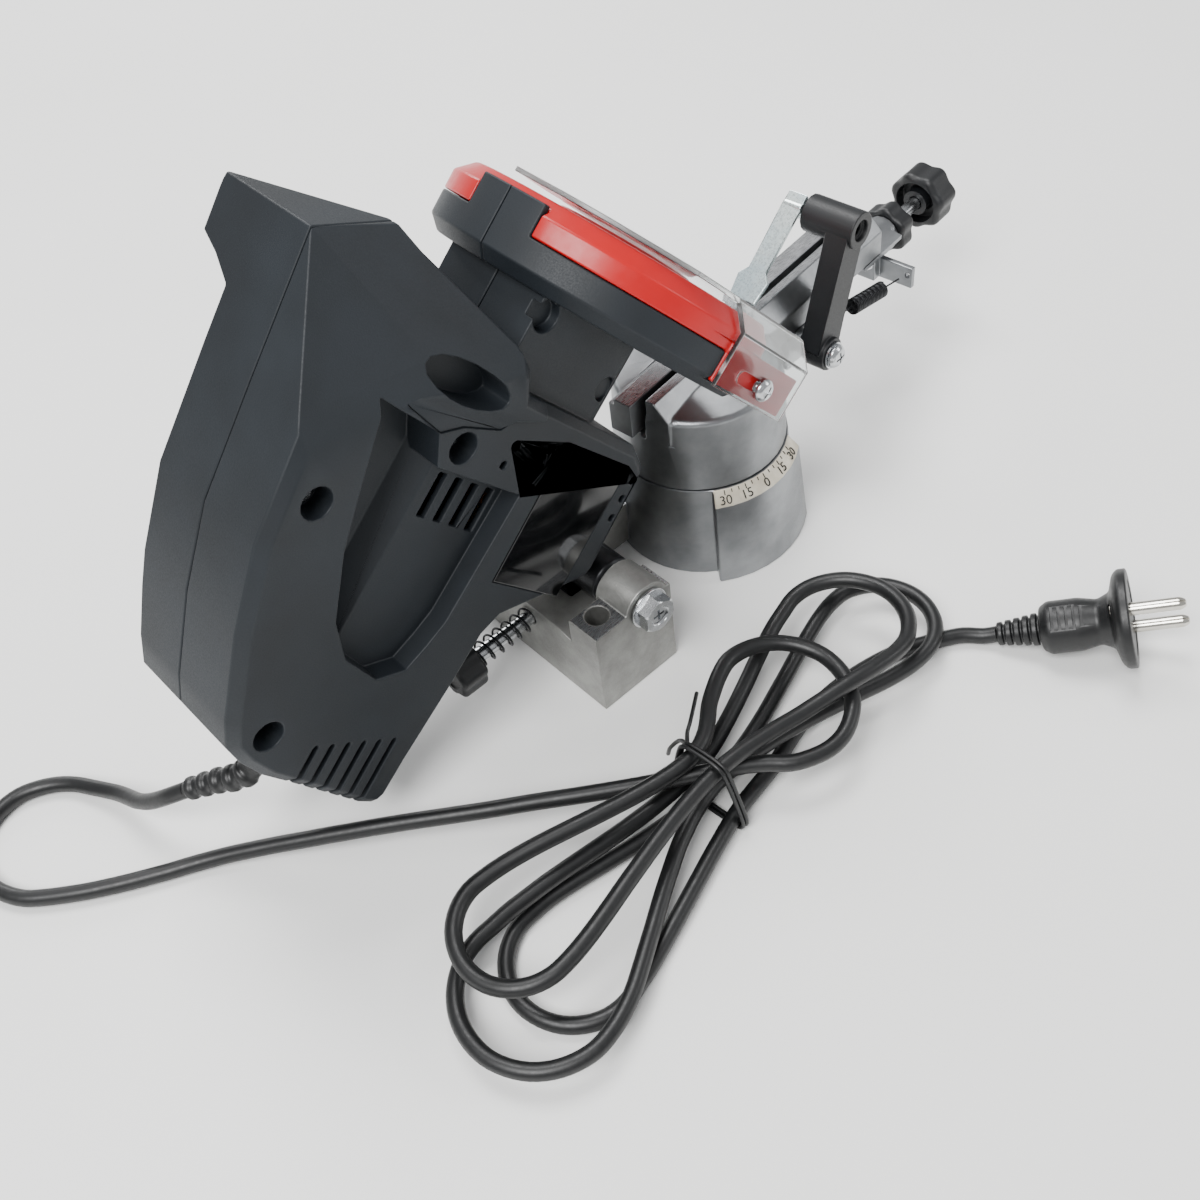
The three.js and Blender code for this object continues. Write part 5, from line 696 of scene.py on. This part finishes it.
# Castings and mouldings. The bands, in millimetres, pick out faces that get a finish of their own.
PAD_BAND = (40.4, 41.5)
JAW_TOPS = 83.5
CUP_REACH = 46
LEDGE_RADII = (35.4, 40.2)
LEDGE_HEIGHTS = (38.8, 44.6)
LEDGE_ANGLES = (-127, -53)
LEDGE_SLOPE = (0.3, 0.95)
LEVEL = 0.95


def faces_to(piece, material, chosen):
    """Adds a material for the faces that the test chooses by their centre in millimetres and their normal."""
    piece.data.materials.append(material)
    number = len(piece.data.materials) - 1
    for face in piece.data.polygons:
        if chosen(face.center / MM, face.normal):
            face.material_index = number


def on_ledge(centre, normal):
    """True on the slanting ledge of the scale, at the top of the skirt's lobe."""
    across = Vector((centre.x - SWIVEL_X, centre.y))
    angle = math.degrees(math.atan2(across.y, across.x))
    return all(low < value < high for value, (low, high) in (
        (across.length, LEDGE_RADII), (centre.z, LEDGE_HEIGHTS), (angle, LEDGE_ANGLES), (normal.z, LEDGE_SLOPE)))


# Angle of each number round the swivel, and the ledge's lower and upper edge as radius and height
SCALE_NUMBERS = [(-120, "30"), (-106.5, "15"), (-92, "0"), (-78, "15"), (-64, "30")]
SCALE_TICKS = 12
DIGIT_SHARE = 0.7
LEDGE_LOW = (40, 38.9)
LEDGE_HIGH = (35.5, 44.5)


def ledge_place(angle, share):
    """The frame of a mark on the ledge: X along it, Y up its slope, Z out of it."""
    turn = math.radians(angle)
    outward = Vector((math.cos(turn), math.sin(turn), 0))
    along = Vector((-math.sin(turn), math.cos(turn), 0))
    low, high = Vector(LEDGE_LOW), Vector(LEDGE_HIGH)
    slope = (outward * (high.x - low.x) + Vector((0, 0, high.y - low.y))).normalized()
    spot = low.lerp(high, share)
    centre = Vector((SWIVEL_X, 0, spot.y)) + outward * spot.x
    return Matrix.Translation(centre) @ Matrix((along, slope, along.cross(slope))).transposed().to_4x4()


class SHARPENER_OT_castings(bpy.types.Operator):
    """Smooths the castings, with milled pads and the numbered scale of the swivel"""

    bl_idname = "sharpener.castings"
    bl_label = "Castings and scale"

    def execute(self, context):
        sizes = context.scene.sharpener_sizes
        base = dressed("base_casting", FINISH["blasted aluminium"], sizes.cast_edge)
        faces_to(base, FINISH["milled aluminium"],
                 lambda c, n: n.z > LEVEL and PAD_BAND[0] < c.z < PAD_BAND[1])
        faces_to(base, FINISH["scale ledge"], on_ledge)
        faces_to(base, FINISH["die-cast aluminium"],
                 lambda c, n: (c.x - SWIVEL_X) ** 2 + c.y ** 2 < CUP_REACH ** 2 and not on_ledge(c, n))
        table = dressed("turntable", FINISH["die-cast aluminium"], sizes.cast_edge)
        faces_to(table, FINISH["milled aluminium"], lambda c, n: n.z > LEVEL and c.z > JAW_TOPS)
        jaw = dressed("rear_jaw", FINISH["die-cast aluminium"], sizes.cast_edge * 0.7)
        faces_to(jaw, FINISH["milled aluminium"], lambda c, n: n.z > LEVEL and c.z > JAW_TOPS)
        for node in ("end_bracket", "stop_carriage"):
            dressed(node, FINISH["die-cast aluminium"], sizes.cast_edge * 0.7)

        marks = []
        height, relief = sizes.digit_height / MM, sizes.digit_relief / MM
        for angle, digits in SCALE_NUMBERS:
            bpy.ops.object.select_all(action="DESELECT")
            bpy.ops.object.text_add()
            text = context.object
            text.data.body = digits
            text.data.size = height / DIGIT_SHARE
            text.data.extrude = relief
            text.data.align_x = "CENTER"
            text.data.align_y = "CENTER"
            bpy.ops.object.convert(target="MESH")
            mark = context.object
            place(mark, ledge_place(angle, 0.36))
            marks.append(mark)
        first, last = SCALE_NUMBERS[0][0], SCALE_NUMBERS[-1][0]
        for k in range(SCALE_TICKS + 1):
            angle = first + (last - first) * k / SCALE_TICKS
            long = 2.0 if k % 3 == 0 else 1.4
            tick = block((0.35, long, 2 * relief), (0, 3.1 - long / 2, 0))
            place(tick, ledge_place(angle, 0.5))
            marks.append(tick)
        scale = joined("scale_marks", *marks)
        finished(scale, FINISH["ink"], body="base")
        return {"FINISHED"}


class SHARPENER_OT_housing(bpy.types.Operator):
    """Smooths the housing halves with their vents, and the bare name plate"""

    bl_idname = "sharpener.housing"
    bl_label = "Motor housing"

    def execute(self, context):
        sizes = context.scene.sharpener_sizes
        for node in ("housing_front", "housing_rear"):
            dressed(node, FINISH["moulded ABS"], sizes.shell_edge, 3)
        dressed("label_plate", FINISH["plate"], 0.4 * MM, 3)
        dressed("rocker_switch", FINISH["nylon"], sizes.sheet_edge)
        dressed("switch_button", FINISH["nylon"], sizes.sheet_edge)
        dressed("pivot_arm", FINISH["spring"], sizes.shell_edge)
        return {"FINISHED"}


class SHARPENER_OT_guard(bpy.types.Operator):
    """Smooths the red wheel cover and the folded clear shield with its bright cut edges"""

    bl_idname = "sharpener.guard"
    bl_label = "Wheel cover and shield"

    def execute(self, context):
        sizes = context.scene.sharpener_sizes
        dressed("guard_cover", FINISH["red ABS"], sizes.cover_edge, 3)
        shield = dressed("shield", FINISH["clear"], sizes.sheet_edge)
        up = HEAD.to_3x3() @ Vector((0, 0, 1))
        back = HEAD.inverted()
        faces_to(shield, FINISH["clear edge"],
                 lambda c, n: abs(n.dot(up)) > 0.25 or (back @ c).x < 82.4 or (back @ c).y > 5.6)
        return {"FINISHED"}


class SHARPENER_OT_wheel(bpy.types.Operator):
    """Turns the grinding wheel, its flange and its nut"""

    bl_idname = "sharpener.wheel"
    bl_label = "Grinding wheel"

    def execute(self, context):
        rim = [(11.5, -1.6), (53.2, -1.6), (54, -0.8), (54, 0.8), (53.2, 1.6), (11.5, 1.6), (11.5, -1.6)]
        wheel = turned("grinding_wheel_bonded", rim, 160)
        smooth(wheel, 30)
        place(wheel, HEAD @ Matrix.Translation(WHEEL_CENTRE) @ FACING["+x"])
        finished(wheel, FINISH["grit"], ["grinding_wheel"])
        for node in ("inner_flange", "wheel_nut"):
            dressed(node, FINISH["steel"], 0.4 * MM)
        return {"FINISHED"}


# From the middle of the hinge to the seat of its bolt and nut
BOLT_SEAT = Vector((0, 47.9, 0))
# Fasteners: group, seat, way the head faces, shank radius and length, washer radius
SCREWS = {
    "housing_screw_1": (HEAD, (-1.17, -21.3, 155.83), "-y", 2, 37, 0),
    "housing_screw_2": (HEAD, (-78.7, -21.3, 126.98), "-y", 2, 37, 0),
    "housing_screw_3": (HEAD, (28.31, -21.3, 111.82), "-y", 2, 37, 0),
    "housing_screw_4": (HEAD, (-4.81, -21.3, 37.3), "-y", 2, 37, 0),
    "shield_screw": (HEAD, (88.7, -63.9, 34), "-y", 2, 6, 0),
    "arm_pivot_screw": (VICE, (52, -28.3, 60), "-y", 2.5, 19.7, 5.6),
    "pawl_screw": (VICE, (70, 4.3, 108), "+y", 2, 4.05, 0),
    "bracket_screw": (VICE, (106, -8, 63.4), "-z", 2, 10, 0),
}


def cross_recess(piece, half, width, low):
    for size in ((2 * half, width, 4), (width, 2 * half, 4)):
        carve(piece, block(size, (0, 0, low + 2)))


def pan_screw(name, radius, length, washer):
    """A pan head with a cross recess on a threaded shank. The seat is at height zero."""
    lift = 0.9 if washer else 0
    rim, tall = 2 * radius, 1.3 * radius
    head = [(0, lift), (rim, lift), (rim, lift + tall * 0.35), (rim * 0.72, lift + tall * 0.86),
            (0, lift + tall)]
    screw = turned(name, soft_corners(head, tall * 0.45, 6), 48)
    cross_recess(screw, rim * 0.52, radius * 0.34, lift + tall * 0.45)
    thread = []
    turns = int(length / 0.8) if length < 12 else int(length / 1.6)
    for k in range(turns):
        low = -length + (length - 0.4) * k / turns
        thread += [(radius * 0.82, low), (radius, low + length / turns * 0.5)]
    shank = turned("shank", [(0, -length), *thread, (radius * 0.82, 0.3), (0, 0.3)], 24)
    pieces = [shank, screw]
    if washer:
        ring = [(radius + 0.2, 0), (washer, 0), (washer, 0.8), (radius + 0.2, 0.8), (radius + 0.2, 0)]
        pieces.insert(0, turned("washer", ring, 64))
    whole = joined(name, *pieces)
    smooth(whole, 35)
    return whole


def hexagon(name, radius, low, high, top_only=True):
    """A hexagon with its corners turned off."""
    nut = cylinder(name, radius, low, high, 6)
    across = radius * 0.9
    profile = [(0, low), (across if not top_only else radius, low), (radius * 1.02, low + 0.7),
               (radius * 1.02, high - 1.1), (across, high), (0, high)]
    carve(nut, turned("corners", profile, 72), "INTERSECT")
    return nut


class SHARPENER_OT_fasteners(bpy.types.Operator):
    """Models the cross-headed screws, the pivot bolt and its nut"""

    bl_idname = "sharpener.fasteners"
    bl_label = "Screws, bolt and nut"

    def execute(self, context):
        for node, (group, seat, facing, radius, length, washer) in SCREWS.items():
            screw = pan_screw(node + "_cross_head", radius, length, washer)
            place(screw, group @ Matrix.Translation(seat) @ FACING[facing])
            finished(screw, FINISH["steel"], [node])

        bolt = hexagon("head", 7.5, 1.3, 6.8)
        carve(bolt, turned("dish", soft_corners([(0, 5.9), (3.6, 5.9), (4.6, 6.9), (0, 6.9)], 0.6), 48))
        cross_recess(bolt, 2.6, 1.1, 4.4)
        flange = turned("flange", soft_corners([(0, 0), (8.4, 0), (8.4, 1.3), (0, 1.3)], 0.5), 72)
        shank = turned("shank", [(0, -104), (3.4, -104), (4, -103.3), (4, 0.2), (0, 0.2)], 40)
        whole = joined("pivot_bolt_hex", shank, flange, bolt)
        smooth(whole, 30)
        place(whole, Matrix.Translation(HINGE + BOLT_SEAT * -1) @ FACING["-y"])
        finished(whole, FINISH["steel"], ["pivot_bolt"])

        nut = hexagon("pivot_nut_hex", 7.5, 0, 6.5, False)
        carve(nut, cylinder("bore", 4.3, -1, 8, 40))
        smooth(nut, 30)
        place(nut, Matrix.Translation(HINGE + BOLT_SEAT) @ FACING["+y"])
        finished(nut, FINISH["steel"], ["pivot_nut"])
        return {"FINISHED"}


def star_knob(name, radius, lobes, low, high, rounding, wave=0.11):
    """A fluted grip about the local Z axis, with rounded rims."""
    knob = cylinder(name, radius, low, high, lobes * 16)
    for vertex in knob.data.vertices:
        angle = math.atan2(vertex.co.y, vertex.co.x)
        factor = 1 - wave * (1 - math.cos(lobes * angle)) / 2
        vertex.co.x *= factor
        vertex.co.y *= factor
    apply_modifier(knob, "BEVEL", width=rounding, segments=5, limit_method="ANGLE",
                   angle_limit=math.radians(60), use_clamp_overlap=True)
    return knob


class SHARPENER_OT_knobs(bpy.types.Operator):
    """Moulds the fluted knobs with their hubs and bores"""

    bl_idname = "sharpener.knobs"
    bl_label = "Knobs"

    def execute(self, context):
        feed = star_knob("feed_knob_fluted", 13.5, 7, 158, 172, 2.6)
        ring = [(5.7, 157), (9.6, 157), (9.3, 163), (8.6, 163.6), (6.4, 163.6), (5.7, 163), (5.7, 157)]
        carve(feed, turned("recess", ring, 64))
        carve(feed, cylinder("bore", 3.3, 150, 168.4, 40))
        carve(feed, turned("dish", [(0, 171.2), (6.5, 171.6), (8.5, 173), (0, 173)], 64))
        lock = star_knob("lock_knob_fluted", 11, 6, 132.6, 141.6, 1.8, 0.14)
        nose = turned("nose", soft_corners([(0, 134), (7, 134), (7, 143.6), (0, 143.6)], 0.9), 56)
        carve(lock, nose, "UNION")
        carve(lock, cylinder("bore", 3.3, 130, 150, 40))
        swivel = star_knob("swivel_lock_knob_fluted", 17, 6, 19.2, 31.2, 2.4)
        collar = turned("collar", soft_corners([(0, 25), (9, 25), (9, 35.2), (0, 35.2)], 0.8), 56)
        carve(swivel, collar, "UNION")
        carve(swivel, cylinder("bore", 5.3, 10, 40, 40))
        depth = star_knob("depth_knob_fluted", 10, 7, -59, -47, 1.8)
        carve(depth, cylinder("bore", 3.3, -57.3, -40, 40))
        carve(depth, turned("dish", [(0, -60), (6.4, -60), (5.4, -58.4), (0, -58.2)], 48))
        for knob, node, matrix in (
                (feed, "feed_knob", VICE @ Matrix.Translation(FEED_AXIS) @ FACING["+x"]),
                (lock, "lock_knob", VICE @ Matrix.Translation(FEED_AXIS) @ FACING["+x"]),
                (swivel, "swivel_lock_knob", VICE),
                (depth, "depth_knob", Matrix.Translation(DEPTH_AXIS) @ FACING["+x"])):
            smooth(knob, 35)
            place(knob, matrix)
            finished(knob, FINISH["nylon"], [node])
        return {"FINISHED"}


class SHARPENER_OT_feed(bpy.types.Operator):
    """Smooths the pawl, its arm, the levers and the rods"""

    bl_idname = "sharpener.feed"
    bl_label = "Pawl, arm and rods"

    def execute(self, context):
        sizes = context.scene.sharpener_sizes
        dressed("pawl_arm", FINISH["nylon"], 0.5 * MM, 3)
        dressed("pawl_strip", FINISH["blue zinc"], sizes.sheet_edge)
        dressed("jaw_clamp_lever", FINISH["spring"], sizes.shell_edge)
        for node in ("feed_screw", "depth_screw", "swivel_bolt"):
            dressed(node, FINISH["bar"], 0.5 * MM)
        return {"FINISHED"}


class SHARPENER_OT_springs(bpy.types.Operator):
    """Winds the pull spring of the arm, the torsion spring of the head and the depth screw's spring"""

    bl_idname = "sharpener.springs"
    bl_label = "Springs"

    def execute(self, context):
        start, end = Vector((63.22, -21, 68)), Vector((112.3, -21, 56))
        near, far = start.lerp(end, 0.27), start.lerp(end, 0.73)
        coil = coil_points(3.1, 22, near, far, 20)
        eye = [start, start.lerp(end, 0.12), start.lerp(end, 0.24)]
        hook = [start.lerp(end, 0.76), start.lerp(end, 0.9), end]
        arm = wire("arm_spring_wound", eye + coil + hook, 0.42, 8)
        place(arm, VICE)
        depth_path = coil_points(4.55, 6, (-46.2, -7.6, 23), (-19.8, -7.6, 23))
        depth = wire("depth_spring_wound", depth_path, 0.45, 12)
        place(depth, MACHINE)
        turns, steps, radius, first, long = 3.889, 96, 8, 17.2, 11.9
        legs = [Vector((-radius, first, 22.6)), Vector((-radius, first, 10))]
        for k in range(steps + 1):
            angle = math.pi + 2 * math.pi * turns * k / steps
            legs.append(Vector((radius * math.cos(angle), first + long * k / steps, radius * math.sin(angle))))
        torsion = wire("return_spring_wound", legs + [Vector((-11.84, first + long, -1.67))], 0.9, 12)
        place(torsion, HEAD)
        for piece, node in ((arm, "arm_spring"), (depth, "depth_spring"), (torsion, "return_spring")):
            smooth(piece, 60)
            finished(piece, FINISH["spring"], [node])
        return {"FINISHED"}


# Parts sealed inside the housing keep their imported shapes
INSIDE = {"motor_shaft": "steel", "armature_core": "copper", "commutator": "brass", "cooling_fan": "nylon",
          "field_core": "laminations", "rear_bearing": "steel", "front_bearing": "steel",
          "brush_holder_1": "brass", "brush_holder_2": "brass", "carbon_brush_1": "carbon",
          "carbon_brush_2": "carbon", "cord_clamp": "nylon"}


class SHARPENER_OT_motor(bpy.types.Operator):
    """Gives the parts inside the housing their finishes"""

    bl_idname = "sharpener.motor"
    bl_label = "Motor insides"

    def execute(self, context):
        for node, finish in INSIDE.items():
            mesh = frame["nodes"][node].data
            mesh.materials.clear()
            mesh.materials.append(FINISH[finish])
        return {"FINISHED"}


class SHARPENER_OT_finishes(bpy.types.Operator):
    """Makes every finish of the machine"""

    bl_idname = "sharpener.finishes"
    bl_label = "Finishes"

    def execute(self, context):
        FINISH.update(finishes(context.scene.sharpener_colours))
        return {"FINISHED"}


STEPS = [SHARPENER_OT_finishes, SHARPENER_OT_stage, SHARPENER_OT_cord, SHARPENER_OT_castings,
         SHARPENER_OT_housing, SHARPENER_OT_guard, SHARPENER_OT_wheel, SHARPENER_OT_fasteners,
         SHARPENER_OT_knobs, SHARPENER_OT_feed, SHARPENER_OT_springs, SHARPENER_OT_motor]


class SHARPENER_PT_panel(bpy.types.Panel):
    """Lists the steps that build the machine"""

    bl_idname = "SHARPENER_PT_panel"
    bl_label = "Sharpener"
    bl_space_type = "VIEW_3D"
    bl_region_type = "UI"
    bl_category = "Sharpener"

    def draw(self, context):
        for step in STEPS:
            self.layout.operator(step.bl_idname)
        for group in (context.scene.sharpener_sizes, context.scene.sharpener_colours):
            for name in group.bl_rna.properties.keys():
                if name not in ("rna_type", "name"):
                    self.layout.prop(group, name)


CLASSES = [SharpenerSizes, SharpenerColours, *STEPS, SHARPENER_PT_panel]


def register():
    for entry in CLASSES:
        bpy.utils.register_class(entry)
    bpy.types.Scene.sharpener_sizes = bpy.props.PointerProperty(type=SharpenerSizes)
    bpy.types.Scene.sharpener_colours = bpy.props.PointerProperty(type=SharpenerColours)


def unregister():
    del bpy.types.Scene.sharpener_colours
    del bpy.types.Scene.sharpener_sizes
    for entry in reversed(CLASSES):
        bpy.utils.unregister_class(entry)


def main():
    register()
    for step in STEPS:
        group, name = step.bl_idname.split(".")
        getattr(getattr(bpy.ops, group), name)()


if __name__ == "__main__":
    main()
